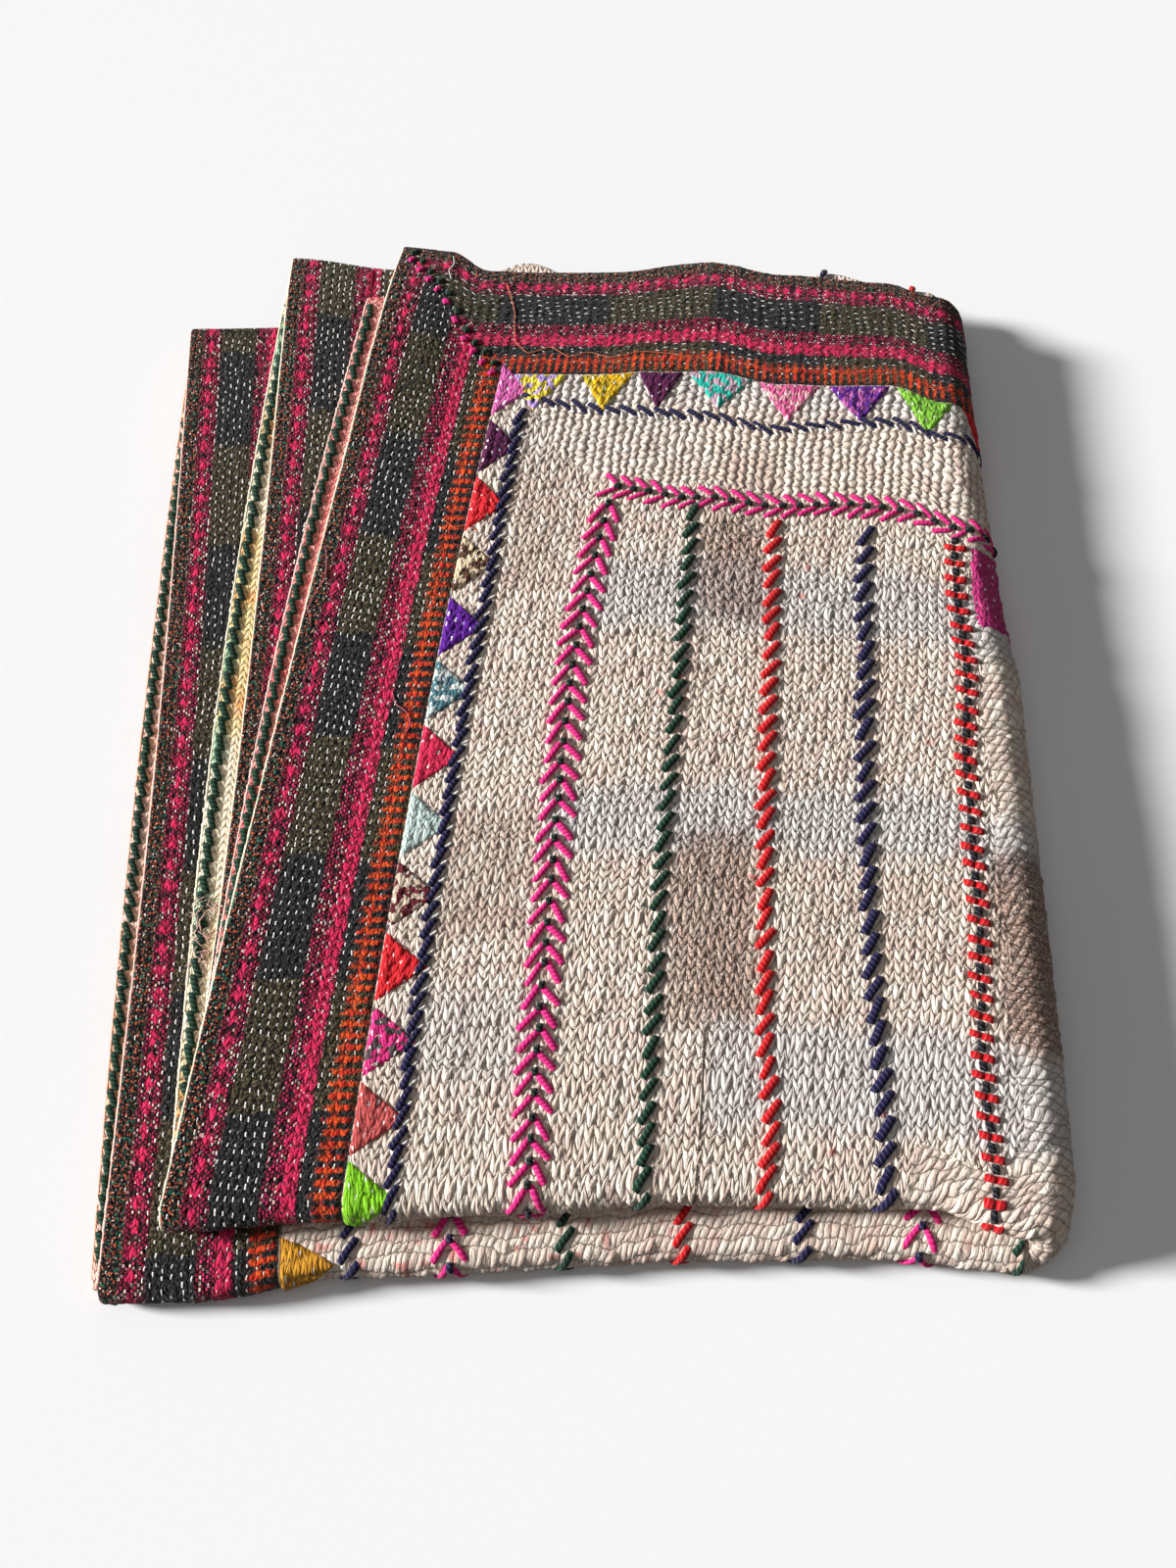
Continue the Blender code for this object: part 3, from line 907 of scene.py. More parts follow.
def plaid_cotton(name, stitches):
    """Plaid border cloth, with painted shade in its creases. Where stitches is true, its running stitches are
    drawn on it.
    """
    material, wire, shader = finish_of(name, 0.93, 0.10)
    inset, run, beside = border_places(wire, "flat")
    first, length = (
        wire.total(wire.product(beside, side - end), end) for side, end in zip(SIDE_BLOCKS, END_BLOCKS)
    )
    start, end, most = SHORTER
    shorter = wire.product(wire.ramp(run, start, end, 0.0, most), wire.ramp(run, F1, F1 + 0.02, 1.0, 0.0))
    first = wire.calc("SUBTRACT", first, wire.product(shorter, beside))
    bands = wire.group(BANDS, Inset=inset, Along=run, First_block=first, Block_length=length)
    sewn_inset, sewn_run, _ = border_places(wire, "sewn")
    rows = wire.group(ROWS, Inset=sewn_inset, Along=sewn_run)
    # Painted shade: the low cloth between the quilted puckers darkened towards black.
    colour = wire.mix(wire.ramp(rows["Height"], 0.10, 0.75, 0.85, 0.0), bands["Colour"], BLACK_AND_CREASE_SHADE)
    height = wire.total(wire.product(rows["Height"], 0.8), wire.product(bands["Height"], 0.30))
    if stitches:
        colour = wire.mix(rows["Stitch"], colour, THREAD_WHITE)
        height = wire.total(height, rows["Stitch"])
    wire.set(shader["Base Color"], colour)
    wire.set(shader["Normal"], wire.bump(height, 0.0012, 1.0))
    return material


def backing_cotton():
    """The cover's back: soft plain cottons, quilted through, with painted shade in the creases."""
    material, wire, shader = finish_of("Backing cotton", 0.92, 0.08)
    inset, run, _ = border_places(wire, "flat")
    across, down = wire.uv("flat")
    rows = wire.group(ROWS, Inset=inset, Along=run)
    wear = wire.group(UNEVEN, Across=across, Down=down, Patch_size=0.012)
    colour = wire.attribute("tone")["Color"]
    puffed = wire.group(PUFFED, Across=inset, Down=run, Row_space=0.0052, Stitch_pitch=0.0050)
    colour = wire.mix(wire.ramp(wear["Wear"], 0.4, 0.7, 0.0, 0.25), colour, CREAM)
    # Painted shade: the creases between the quilted puffs darkened towards the shade colour.
    colour = wire.mix(wire.product(puffed["Crease shade"], 0.65), colour, CREASE_SHADE)
    colour = wire.mix(wire.product(rows["Stitch"], 0.35), colour, THREAD_WHITE)
    wire.set(shader["Base Color"], colour)
    height = wire.total(puffed["Height"], wire.product(wear["Fibre"], 0.3))
    wire.set(shader["Normal"], wire.bump(height, 0.0014, 1.0))
    return material


def patch_cotton():
    """Small cuts of printed and plain cottons, with painted shade in their creases."""
    material, wire, shader = finish_of("Patch cottons", 0.9, 0.08)
    across, down = wire.uv("flat")
    rows_in, rows_along = wire.uv("sewn")
    ground = wire.attribute("tone")["Color"]
    figure = wire.attribute("print")
    place = wire.joined(across, down)
    blobs = wire.noise(place, 150.0, 1.0, 0.5)
    printed = wire.product(wire.ramp(blobs, 0.50, 0.54), figure["Alpha"])
    colour = wire.mix(printed, ground, figure["Color"])
    small = wire.noise(place, 320.0, 1.0, 0.5)
    dots = wire.product(wire.ramp(small, 0.66, 0.70), figure["Alpha"])
    colour = wire.mix(wire.product(dots, 0.6), colour, CREAM)
    puffed = wire.group(PUFFED, Across=rows_in, Down=rows_along, Row_space=0.0048, Stitch_pitch=0.0066)
    weave = wire.group(WOVEN, Across=across, Down=down, Thread=0.00045)
    # Painted shade: the creases between the puffs darkened towards near black.
    colour = wire.mix(wire.product(puffed["Crease shade"], 0.55), colour, BLACK_AND_CREASE_SHADE)
    stitched = wire.group(ROWS, Inset=rows_in, Along=rows_along, Row_space=0.0048, Stitch_pitch=0.0066)
    shown = wire.ramp(wire.noise(place, 210.0, 0.0), 0.56, 0.60)
    colour = wire.mix(wire.product(stitched["Stitch"], shown), colour, THREAD_WHITE)
    wire.set(shader["Base Color"], colour)
    fine = wire.bump(weave["Height"], 0.00006, 0.6)
    wire.set(shader["Normal"], wire.bump(puffed["Height"], 0.0010, 1.0, fine))
    return material


def twisted(name, roughness, sheen, twist, fuzz, lights):
    """Yarn or thread of two or three strands, in the colour of its dye, with painted shade in the grooves
    between strands and a painted highlight on their crowns.
    """
    material, wire, shader = finish_of(name, roughness, sheen)
    dye = wire.attribute("dye")["Color"]
    local = wire.node("ShaderNodeSeparateXYZ")
    wire.set(local.inputs[0], wire.attribute("yarn")["Vector"])
    length = wire.attribute("length")["Fac"]
    around = wire.calc("DIVIDE", wire.calc("ARCTAN2", local.outputs[2], local.outputs[0]), 2 * math.pi)
    turns = wire.total(wire.calc("DIVIDE", wire.product(local.outputs[1], length), twist), around)
    strand = wire.calc("ABSOLUTE", wire.wave(turns, 0.5))
    hairs = wire.noise(wire.node("ShaderNodeTexCoord").outputs["Object"], fuzz, 3.0, 0.7)
    shade = wire.total(wire.product(strand, 1.1), wire.product(hairs, 0.7))
    # Painted shade: the dye darkened in the grooves between the strands.
    dark = wire.mix(1.0, dye, (0.22, 0.22, 0.22), "MULTIPLY")
    # Painted highlight: the dye whitened on the crowns of the strands.
    light = wire.mix(lights, dye, THREAD_WHITE)
    colour = wire.mix(wire.ramp(shade, 0.24, 0.56), dark, dye)
    colour = wire.mix(wire.ramp(shade, 0.70, 1.00), colour, light)
    wire.set(shader["Base Color"], colour)
    wire.set(shader["Normal"], wire.bump(shade, 0.0004, 0.7))
    return material


def plain_ground():
    material, wire, shader = finish_of("Pale paper ground", 0.95)
    place = wire.node("ShaderNodeTexCoord").outputs["Object"]
    grain = wire.noise(place, 260.0, 2.0)
    wire.set(shader["Base Color"], wire.mix(grain, (0.90, 0.90, 0.90), (0.93, 0.93, 0.93)))
    return material


FIELD_CLOTH = washed_centre()
BORDER_CLOTH = plaid_cotton("Charcoal plaid cotton", False)
FAR_BORDER_CLOTH = plaid_cotton("Charcoal plaid with drawn stitches", True)
BACK_CLOTH = backing_cotton()
PATCH_CLOTH = patch_cotton()
# the last number is how much painted highlight the strands' crowns get
WOOL = twisted("Wool yarn", 0.95, 0.12, 0.0055, 1400.0, 0.12)
COTTON_THREAD = twisted("Cotton thread", 0.85, 0.05, 0.0040, 2600.0, 0.5)


# ---- the cloth's own colours, by place ---------------------------------------

# A soft patch of a tone: where it lies, from and to, and how strong it is.
Faded = namedtuple("Faded", "across down strength")
GREY_BANDS = (
    Faded((0.178, 0.520), (0.216, 0.262), 0.66), Faded((0.165, 0.520), (0.364, 0.402), 0.70),
    Faded((0.272, 0.520), (0.503, 0.562), 0.68), Faded((0.099, 0.176), (0.478, 0.532), 0.45),
    Faded((0.080, 0.250), (0.110, 0.150), 0.25),
    Faded((0.100, 0.520), (0.070, 0.103), 0.60),
)
BROWN_CHECKS = (
    Faded((0.259, 0.305), (0.182, 0.256), 0.80), Faded((0.248, 0.298), (0.392, 0.504), 0.80),
    Faded((0.440, 0.510), (0.384, 0.500), 0.95), Faded((0.116, 0.154), (0.138, 0.234), 0.32),
    Faded((0.105, 0.164), (0.376, 0.449), 0.40), Faded((0.312, 0.429), (0.400, 0.470), 0.12),
    Faded((0.271, 0.318), (0.136, 0.166), 0.34),
)
RED_SPECKS = (
    (0.246, 0.296), (0.249, 0.311), (0.332, 0.234), (0.337, 0.214), (0.371, 0.268),
    (0.369, 0.552), (0.341, 0.573), (0.233, 0.305), (0.297, 0.418), (0.409, 0.330),
)


def faded(across, down, patches, soft):
    """Share of a tone at places of the flat sheet, out of its soft patches."""
    made = 0.0 * across
    for patch in patches:
        shares = [
            eased((place - low) / soft + 0.5) * eased((high - place) / soft + 0.5)
            for place, (low, high) in ((across, patch.across), (down, patch.down))
        ]
        made = np.maximum(made, patch.strength * shares[0] * shares[1])
    return made


def centre_tones(across, down):
    """Red: how grey, green: how brown, blue: how much worn red shows, alpha: row kind."""
    wander = 0.004 * unevenness(across, down, 0.020, 11)
    grey = faded(across, down + wander, GREY_BANDS, 0.018)
    brown = faded(across + wander, down + wander, BROWN_CHECKS, 0.016)
    red = 0.0 * across
    for speck_across, speck_down in RED_SPECKS:
        away = np.hypot((across - speck_across) / 0.0026, (down - speck_down) / 0.0022)
        red = np.maximum(red, 0.9 * eased(1.35 - away))
    worn = (down > F1 + 0.010) & (down < F2 + 0.060) & (across > LOWER)
    specks = eased(unevenness(across, down, 0.0045, 12) * 3.0 - 1.2) * worn
    nearness = eased((across - 0.640) / 0.10)
    red = np.maximum(red, specks * (0.25 + 0.55 * nearness))
    return np.stack((grey, brown, red, row_kind(across, down)), 1)


def shaded(first, second, share):
    return np.array(first) + (np.array(second) - np.array(first)) * np.asarray(share)[:, None]


def backing_tones(across, down):
    """Salmon behind the first quarter, cream and straw behind the third, peach elsewhere."""
    blotch = eased(unevenness(across, down, 0.045, 13) + 0.5)
    mottle = eased(unevenness(across, down, 0.014, 14) + 0.5)
    peach = shaded(PEACH, SALMON_PALE, mottle)
    salmon = shaded(SALMON, SALMON_PALE, 0.35 * mottle)
    straw = shaded(shaded(CREAM, STRAW, blotch), APRICOT, eased(blotch * 1.6 - 0.5) * mottle)
    cream = shaded(straw, MINT, eased(unevenness(across, down, 0.030, 15) * 3.0 - 0.8) * 0.8)
    made = np.where((down > F6)[:, None], salmon, peach)
    return np.where(((down > F2) & (down < F3))[:, None], cream, made)


# ---- the cover, piece by piece -----------------------------------------------

FAR = 0.010
FAR_STEPS = HEM_STEPS + TURN_STEPS
FAR_DOWN = END_STEPS + FOLD_STEPS


def fine(start, end, step=FINE):
    return stations(start, end, step, HEM_STEPS)


def fine_down(start, end, step=FINE):
    return stations(start, end, step, END_STEPS)


def far(start, end):
    return stations(start, end, FAR, FAR_STEPS)


def far_down(start, end):
    return stations(start, end, FAR, FAR_DOWN)


def under_relief(across, down):
    return 0.0 * across - 0.0002


FIELD, PLAID = "quilted_field", "plaid_border"

# What a piece of cloth is made with: its relief, material, slot and tones.
CENTRE_COTTON = (centre_relief, FIELD_CLOTH, FIELD, centre_tones)
CENTRE_INSIDE = (under_relief, FIELD_CLOTH, FIELD, centre_tones)
BORDER_PLAID = (border_relief, BORDER_CLOTH, PLAID)
INSIDE_PLAID = (under_relief, FAR_BORDER_CLOTH, PLAID)
BACKING = (under_relief, BACK_CLOTH, FIELD, backing_tones)
HEM_BACK = (backing_relief, BACK_CLOTH, FIELD, backing_tones)
LOW = ACROSS - BORDER                 # the seam of the border underneath

# Every piece: its name, side of the cloth, patches of the flat sheet and make.
COVER = (
    ("quilted_centre", 1, [(fine(BORDER, UPPER), fine_down(BORDER, F1))], CENTRE_COTTON),
    ("centre_right_roll", 1, [(fine(UPPER, LOWER, 0.0019), fine_down(BORDER, F2, 0.0017))], CENTRE_COTTON),
    ("centre_front_roll", 1, [(fine(BORDER, UPPER), fine_down(F1, F2))], CENTRE_COTTON),
    ("centre_lower_front", 1, [(fine(LOWER, LOW, 0.0017), fine_down(F1, F2 + 0.045, 0.0016))], CENTRE_COTTON),
    ("centre_inside", 1,
     [(far(BORDER, LOW), far_down(F2, DOWN - BORDER)), (far(LOWER, LOW), far_down(BORDER, F1))],
     CENTRE_INSIDE),
    ("border_side", 1, [(fine(0.0, BORDER), fine_down(0.0, F2))], BORDER_PLAID),
    ("border_end", 1, [(fine(BORDER, LOWER), fine_down(0.0, BORDER))], BORDER_PLAID),
    ("border_second_ply", 1, [(fine(0.0, 0.054), fine_down(F4, F5))], BORDER_PLAID),
    ("border_lower_ply", 1, [(fine(LOW, ACROSS, 0.0016), fine_down(F1, F3, 0.0016))], BORDER_PLAID),
    ("border_inside_upper", 1, [(far(0.0, BORDER), far_down(F2, DOWN))], INSIDE_PLAID),
    ("border_inside_lower", 1, [(far(LOW, ACROSS), far_down(0.0, DOWN))], INSIDE_PLAID),
    ("border_lowest_end", 1, [(far(LOWER, LOW), far_down(0.0, BORDER))], INSIDE_PLAID),
    ("border_tucked_end", 1, [(far(BORDER, LOW), far_down(DOWN - BORDER, DOWN))], INSIDE_PLAID),
    ("backing", -1, [(far(0.0, ACROSS), far_down(0.0, DOWN))], BACKING),
    ("hem_back_first_ply", -1, [(fine(0.0, 0.028), fine_down(F6, DOWN))], HEM_BACK),
    ("hem_back_third_ply", -1, [(fine(0.0, 0.024), fine_down(F2, F3))], HEM_BACK),
    ("hem_back_lower_ply", -1, [(fine(ACROSS - 0.020, ACROSS), fine_down(F4, F5))], HEM_BACK),
)
pieces = {name: cloth(name, side, patches, *make) for name, side, patches, make in COVER}
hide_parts(FIELD)
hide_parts(PLAID)

# ---- sewing ------------------------------------------------------------------

Stitch = namedtuple("Stitch", "across down angle length width dye lift")
ON_CENTRE = SURFACE + 0.0016
ON_BORDER = SURFACE + 0.0007
ON_THREADS = ON_BORDER + 0.0010
SHUFFLE = np.random.default_rng(21)


def geometry_tree(name, inputs):
    tree = bpy.data.node_groups.new(name, "GeometryNodeTree")
    named = {}
    for socket_name, (kind, value) in inputs.items():
        socket = tree.interface.new_socket(
            socket_name, in_out="INPUT", socket_type=f"NodeSocket{kind}"
        )
        if value is not None:
            socket.default_value = value
        named[socket_name] = socket.identifier
    tree.interface.new_socket("Geometry", in_out="OUTPUT", socket_type="NodeSocketGeometry")
    return tree, Wiring(tree), named


def stitch_tree():
    """A stitch on every point: a length of yarn that rises out of the cloth and dives back."""
    tree, wire, named = geometry_tree("Sewn stitches", {
        "Geometry": ("Geometry", None), "Sides": ("Int", 8), "Steps": ("Int", 7),
        "Rise": ("Float", 0.20), "Dive": ("Float", 0.45), "Fullness": ("Float", 7.0),
        "Flatness": ("Float", 0.65), "Looseness": ("Float", 0.12), "Seed": ("Int", 3),
        "Finish": ("Material", None),
    })
    given = wire.node("NodeGroupInput").outputs
    line = wire.node("GeometryNodeCurvePrimitiveLine", {"Start": (0, -0.5, 0), "End": (0, 0.5, 0)})
    line = wire.node("GeometryNodeResampleCurve", {"Curve": line.outputs[0], "Count": given["Steps"]})
    factor = wire.node("GeometryNodeSplineParameter").outputs["Factor"]
    u = wire.calc("ABSOLUTE", wire.calc("MULTIPLY_ADD", factor, 2.0, -1.0))
    radius = wire.calc("SUBTRACT", 1.0, wire.product(wire.calc("POWER", u, given["Fullness"]), 0.72))
    line = wire.node("GeometryNodeSetCurveRadius", {"Curve": line.outputs[0], "Radius": radius})
    circle = wire.node("GeometryNodeCurvePrimitiveCircle", {"Resolution": given["Sides"], "Radius": 0.5})
    tube = wire.node("GeometryNodeCurveToMesh", {
        "Curve": line.outputs[0], "Profile Curve": circle.outputs[0], "Fill Caps": True,
    })
    position = wire.node("GeometryNodeInputPosition").outputs[0]
    tube = wire.node("GeometryNodeStoreNamedAttribute", {
        "Geometry": tube.outputs[0], "Name": "yarn", "Value": position,
    }, data_type="FLOAT_VECTOR", domain="POINT")
    apart = wire.node("ShaderNodeSeparateXYZ")
    wire.set(apart.inputs[0], position)
    u = wire.calc("ABSOLUTE", wire.product(apart.outputs[1], 2.0))
    z = wire.calc("SUBTRACT", given["Rise"], wire.product(given["Dive"], wire.calc("POWER", u, 3.0)))
    tube = wire.node("GeometryNodeSetPosition", {
        "Geometry": tube.outputs[0], "Offset": wire.joined(0.0, 0.0, z),
    })
    tube = wire.node("GeometryNodeSetShadeSmooth", {"Geometry": tube.outputs[0]})

    def held(name):
        named_value = wire.node("GeometryNodeInputNamedAttribute", {"Name": name}, data_type="FLOAT")
        return named_value.outputs["Attribute"]

    turn = wire.node("FunctionNodeRandomValue", {"Seed": given["Seed"]}, data_type="FLOAT")
    floats = [socket for socket in turn.inputs if socket.type == "VALUE" and socket.name in ("Min", "Max")]
    wire.set(floats[0], wire.product(given["Looseness"], -1.0))
    wire.set(floats[1], given["Looseness"])
    random_turn = next(socket for socket in turn.outputs if socket.type == "VALUE" and socket.enabled)
    width = held("width")
    placed = wire.node("GeometryNodeInstanceOnPoints", {
        "Points": given["Geometry"], "Instance": tube.outputs[0],
        "Rotation": wire.joined(0.0, 0.0, wire.total(held("angle"), random_turn)),
        "Scale": wire.joined(width, held("length"), wire.product(width, given["Flatness"])),
    })
    real = wire.node("GeometryNodeRealizeInstances", {"Geometry": placed.outputs[0]})
    done = wire.node("GeometryNodeSetMaterial", {"Geometry": real.outputs[0], "Material": given["Finish"]})
    out = wire.node("NodeGroupOutput")
    wire.set(out.inputs[0], done.outputs[0])
    return tree, named


STITCHES, STITCH_INPUTS = stitch_tree()


def sew(name, stitches, finish, slot, **values):
    """The stitches, by their narrowed places, made flat, then folded with their cloth."""
    columns = {key: np.array([getattr(s, key) for s in stitches], float) for key in
               ("across", "down", "angle", "length", "width", "lift")}
    points = np.stack((columns["across"], columns["down"], columns["lift"]), 1)
    mesh = bpy.data.meshes.new(name + "_points")
    mesh.from_pydata(points.tolist(), [], [])
    for key in ("angle", "length", "width"):
        layer = mesh.attributes.new(key, "FLOAT", "POINT")
        layer.data.foreach_set("value", columns[key].astype(np.float32))
    add_colour(mesh, "dye", np.array([s.dye for s in stitches]))
    frame_object = bpy.data.objects.new(name + "_points", mesh)
    bpy.context.scene.collection.objects.link(frame_object)
    modifier = frame_object.modifiers.new("Sewn stitches", "NODES")
    modifier.node_group = STITCHES
    modifier[STITCH_INPUTS["Finish"]] = finish
    for key, value in values.items():
        modifier[STITCH_INPUTS[key.capitalize()]] = value
    evaluated = frame_object.evaluated_get(bpy.context.evaluated_depsgraph_get())
    made = bpy.data.meshes.new_from_object(evaluated)
    frame_object.modifiers.remove(modifier)
    bpy.data.objects.remove(frame_object, do_unlink=True)
    made.name = name
    flat = np.empty(len(made.vertices) * 3, np.float32)
    made.vertices.foreach_get("co", flat)
    across, down, lift = flat.reshape(-1, 3).T
    made.vertices.foreach_set("co", fold(widened(across, down), down, lift).astype(np.float32).ravel())
    made.flip_normals()
    made.update()
    return new_piece(name, made, finish, slot)


# A line of wool stitches through places of the flat sheet.
Line = namedtuple("Line", "kind dye places pitch length width")


def on_line(line):
    """Narrowed places a pitch apart on a line, with the ways along it and to its right."""
    points = np.array([(narrowed(across, down), down) for across, down in line.places])
    lengths = np.hypot(*np.diff(points, axis=0).T)
    ats = np.concatenate(([0.0], np.cumsum(lengths)))

    def point_at(length):
        return np.array([np.interp(length, ats, points[:, k]) for k in (0, 1)])

    for n in range(int(ats[-1] / line.pitch)):
        at = (n + 0.5) * line.pitch
        way = point_at(at + 2.0 * line.pitch) - point_at(at - 2.0 * line.pitch)
        forward = way / np.hypot(*way)
        right = np.array((-forward[1], forward[0]))
        jitter = SHUFFLE.uniform(-0.06, 0.06, 2) * line.pitch
        yield point_at(at) + forward * jitter[0] + right * jitter[1] * 0.6, forward, right


def stitch(place, way, length, width, dye, lift=ON_CENTRE):
    angle = math.atan2(-way[0], way[1])
    length = length * SHUFFLE.uniform(0.93, 1.07)
    width = width * SHUFFLE.uniform(0.92, 1.08)
    return Stitch(place[0], place[1], angle, length, width, dye, lift)


def slanted(line):
    for place, forward, right in on_line(line):
        yield stitch(place, forward * 0.83 + right * 0.56, line.length, line.width, line.dye)


TWIST_ASIDE, TWIST_LENGTH, TWIST_WIDTH = 0.0032, 0.0046, 0.0016
KNOT_LENGTH, KNOT_WIDTH = 0.0046, 0.0036
BAR_ASIDE, TIE_LENGTH, TIE_WIDTH = 0.0032, 0.0056, 0.0042


def framed(line):
    """Close slanted stitches with a pale twist beside them."""
    for place, forward, right in on_line(line):
        yield stitch(place, forward * 0.90 + right * 0.43, line.length, line.width, line.dye)
        beside = place + right * TWIST_ASIDE - forward * TWIST_ASIDE
        yield stitch(beside, forward * 0.55 + right * 0.83, TWIST_LENGTH, TWIST_WIDTH, THREAD_WHITE)


def chevroned(line):
    """Arms that meet at a point, with a dark knot under each point."""
    knot = NAVY if line.places[0][0] > LOWER else INK_GREEN
    for place, forward, right in on_line(line):
        for side in (-1, 1):
            arm = right * (side * 0.60) - forward * 0.80
            middle = place + arm * (line.length * 0.5) + right * (side * 0.0007)
            yield stitch(middle, arm, line.length, line.width, line.dye)
        yield stitch(place + forward * 0.0004, forward, KNOT_LENGTH, KNOT_WIDTH, knot, ON_CENTRE + 0.0011)


def barred(line):
    """Pairs of short red stitches with a dark one between each pair and the next."""
    for place, forward, right in on_line(line):
        way = right * 0.999 - forward * 0.04
        for side in (-1, 1):
            yield stitch(place + way * (side * BAR_ASIDE), way, line.length, line.width, line.dye)
        yield stitch(place + forward * line.pitch * 0.5, forward, TIE_LENGTH, TIE_WIDTH, INK)


def knotted(line):
    """Small round stitches by turns pink and dark green."""
    for n, (place, forward, right) in enumerate(on_line(line)):
        dye = HOT_PINK if n % 2 else WOOL_GREEN
        beside = place + right * (0.0024 if n % 2 else -0.0024)
        yield stitch(beside, right, line.length, line.width, dye, ON_BORDER + 0.0006)


KINDS = {"slanted": slanted, "framed": framed, "chevroned": chevroned, "barred": barred, "knotted": knotted}


def inward(share):
    """Across, a share of the way from the border's seam to the fold at the right."""
    return BORDER + CENTRE * share


def lowered(share):
    """The same on the half underneath, from its own border's seam."""
    return LOW - CENTRE * share


NEAR = F1 + 0.016                     # a little way round the front fold
REAR = (F3 - 0.012, F4 + 0.012)       # round the rear fold of the third ply
UPPER_LINES = (
    Line("framed", NAVY, (
        (0.106, NEAR), (0.106, 0.544), (0.105, 0.485), (0.105, 0.359), (0.106, 0.233), (0.105, 0.165),
        (0.104, 0.106)), 0.0104, 0.0134, 0.0042),
    Line("framed", NAVY, (
        (0.103, 0.098), (0.176, 0.108), (0.242, 0.1130), (0.300, 0.1155), (0.368, 0.109), (0.447, 0.107),
        (0.496, 0.101)), 0.0107, 0.0138, 0.0031),
    Line("chevroned", HOT_PINK, (
        (0.180, NEAR), (0.177, 0.531), (0.175, 0.420), (0.172, 0.298), (0.177, 0.247), (0.185, 0.180),
        (0.189, 0.160)), 0.0121, 0.0154, 0.0036),
    Line("chevroned", HOT_PINK, (
        (0.185, 0.163), (0.208, 0.168), (0.246, 0.174), (0.304, 0.172), (0.365, 0.168), (0.409, 0.172),
        (0.449, 0.173), (0.500, 0.173)), 0.0102, 0.0124, 0.0031),
    Line("slanted", WOOL_GREEN, (
        (0.241, NEAR), (0.241, 0.508), (0.241, 0.420), (0.244, 0.310), (0.249, 0.241), (0.251, 0.176)),
         0.0119, 0.0130, 0.0049),
    Line("slanted", WOOL_RED, (
        (0.306, NEAR), (0.309, 0.560), (0.305, 0.510), (0.304, 0.400), (0.305, 0.299), (0.310, 0.246),
        (0.312, 0.176)), 0.0122, 0.0146, 0.0047),
    Line("slanted", NAVY, (
        (0.372, NEAR), (0.370, 0.550), (0.366, 0.450), (0.368, 0.295), (0.376, 0.241), (0.382, 0.174)),
         0.0133, 0.0154, 0.0054),
    Line("barred", WOOL_RED, (
        (0.433, NEAR), (0.427, 0.561), (0.426, 0.510), (0.431, 0.433), (0.432, 0.337), (0.443, 0.229),
        (0.447, 0.180)), 0.0113, 0.0060, 0.0046),
    Line("knotted", HOT_PINK, ((0.005, 0.006), (0.080, 0.082)), 0.0052, 0.0046, 0.0036),
)
FAR_SIDE = F2 + 0.030                 # past the front fold, out of sight
LOWER_LINES = tuple(
    Line(kind, dye, ((lowered(share), F1), (lowered(share), FAR_SIDE)), pitch, length, width)
    for kind, dye, share, pitch, length, width in (
        ("slanted", NAVY, 0.094, 0.0116, 0.0135, 0.0042),
        ("chevroned", HOT_PINK, 0.229, 0.0130, 0.0130, 0.0036),
        ("slanted", WOOL_GREEN, 0.383, 0.0116, 0.0135, 0.0042),
        ("slanted", WOOL_RED, 0.540, 0.0116, 0.0135, 0.0042),
        ("slanted", NAVY, 0.702, 0.0116, 0.0135, 0.0044),
        ("chevroned", HOT_PINK, 0.862, 0.0130, 0.0130, 0.0036),
        ("slanted", WOOL_GREEN, 0.997, 0.0116, 0.0125, 0.0042),
    )
)
REAR_LINES = tuple(
    Line(kind, dye, ((inward(share), REAR[0]), (inward(share), REAR[1])), 0.0080, 0.0080, 0.0036)
    for kind, dye, share in (
        ("slanted", NAVY, 0.094), ("slanted", HOT_PINK, 0.310), ("slanted", WOOL_GREEN, 0.463),
        ("slanted", WOOL_RED, 0.626), ("slanted", NAVY, 0.800), ("slanted", WOOL_RED, 0.968),
    )
)


def wool(lines):
    return [made for line in lines for made in KINDS[line.kind](line)]


sew("wool_lines", wool(UPPER_LINES), WOOL, FIELD, looseness=0.15, seed=4)
sew("wool_lines_lower_ply", wool(LOWER_LINES + REAR_LINES), WOOL, FIELD, looseness=0.15, seed=5)


def unsewn(across, down):
    """Narrowed places of the border whose places by the rows are these."""
    stray_across, stray_down = strays(widened(across, down), down)
    return across - stray_across, down - stray_down


def running(side_rows, end_rows, down_range, across_range):
    """Running stitches in rows beside a long hem, and beside a short one."""
    ways = ((side_rows, down_range, 0.0), (end_rows, across_range, math.pi / 2))
    for rows, (low, high), angle in ways:
        for row in rows:
            inset = row * ROW_SPACE
            start = max(low, inset + 0.003)
            for n in range(int((high - start) / RUN_PITCH)):
                run = start + (n + 0.5 * (row % 2)) * RUN_PITCH
                yield (run, inset, angle) if angle else (inset, run, angle)


# How many of the running stitches show up to a distance from the hem, and their size.
STITCHES_SHOWN = ((0.010, 0.30, 0.80), (0.0205, 0.35, 0.75), (0.044, 1.0, 1.0),
                  (0.060, 0.45, 0.75), (0.0665, 0.9, 0.95), (9.0, 0.5, 0.8))


def thread_stitches(places, lower=False):
    made = []
    for across, down, angle in places:
        inset = min(across, down)
        shown, size = next(row[1:] for row in STITCHES_SHOWN if inset < row[0])
        if SHUFFLE.uniform(0.0, 1.0) > shown:
            continue
        across, down = unsewn(np.array(across), np.array(down))
        across = ACROSS - across if lower else across
        made.append(Stitch(
            float(across), float(down), angle, 0.0027 * SHUFFLE.uniform(0.6, 1.2) * size,
            (0.0007 if angle else 0.0009) * SHUFFLE.uniform(0.75, 1.2) * size, THREAD_WHITE, ON_BORDER,
        ))
    return made


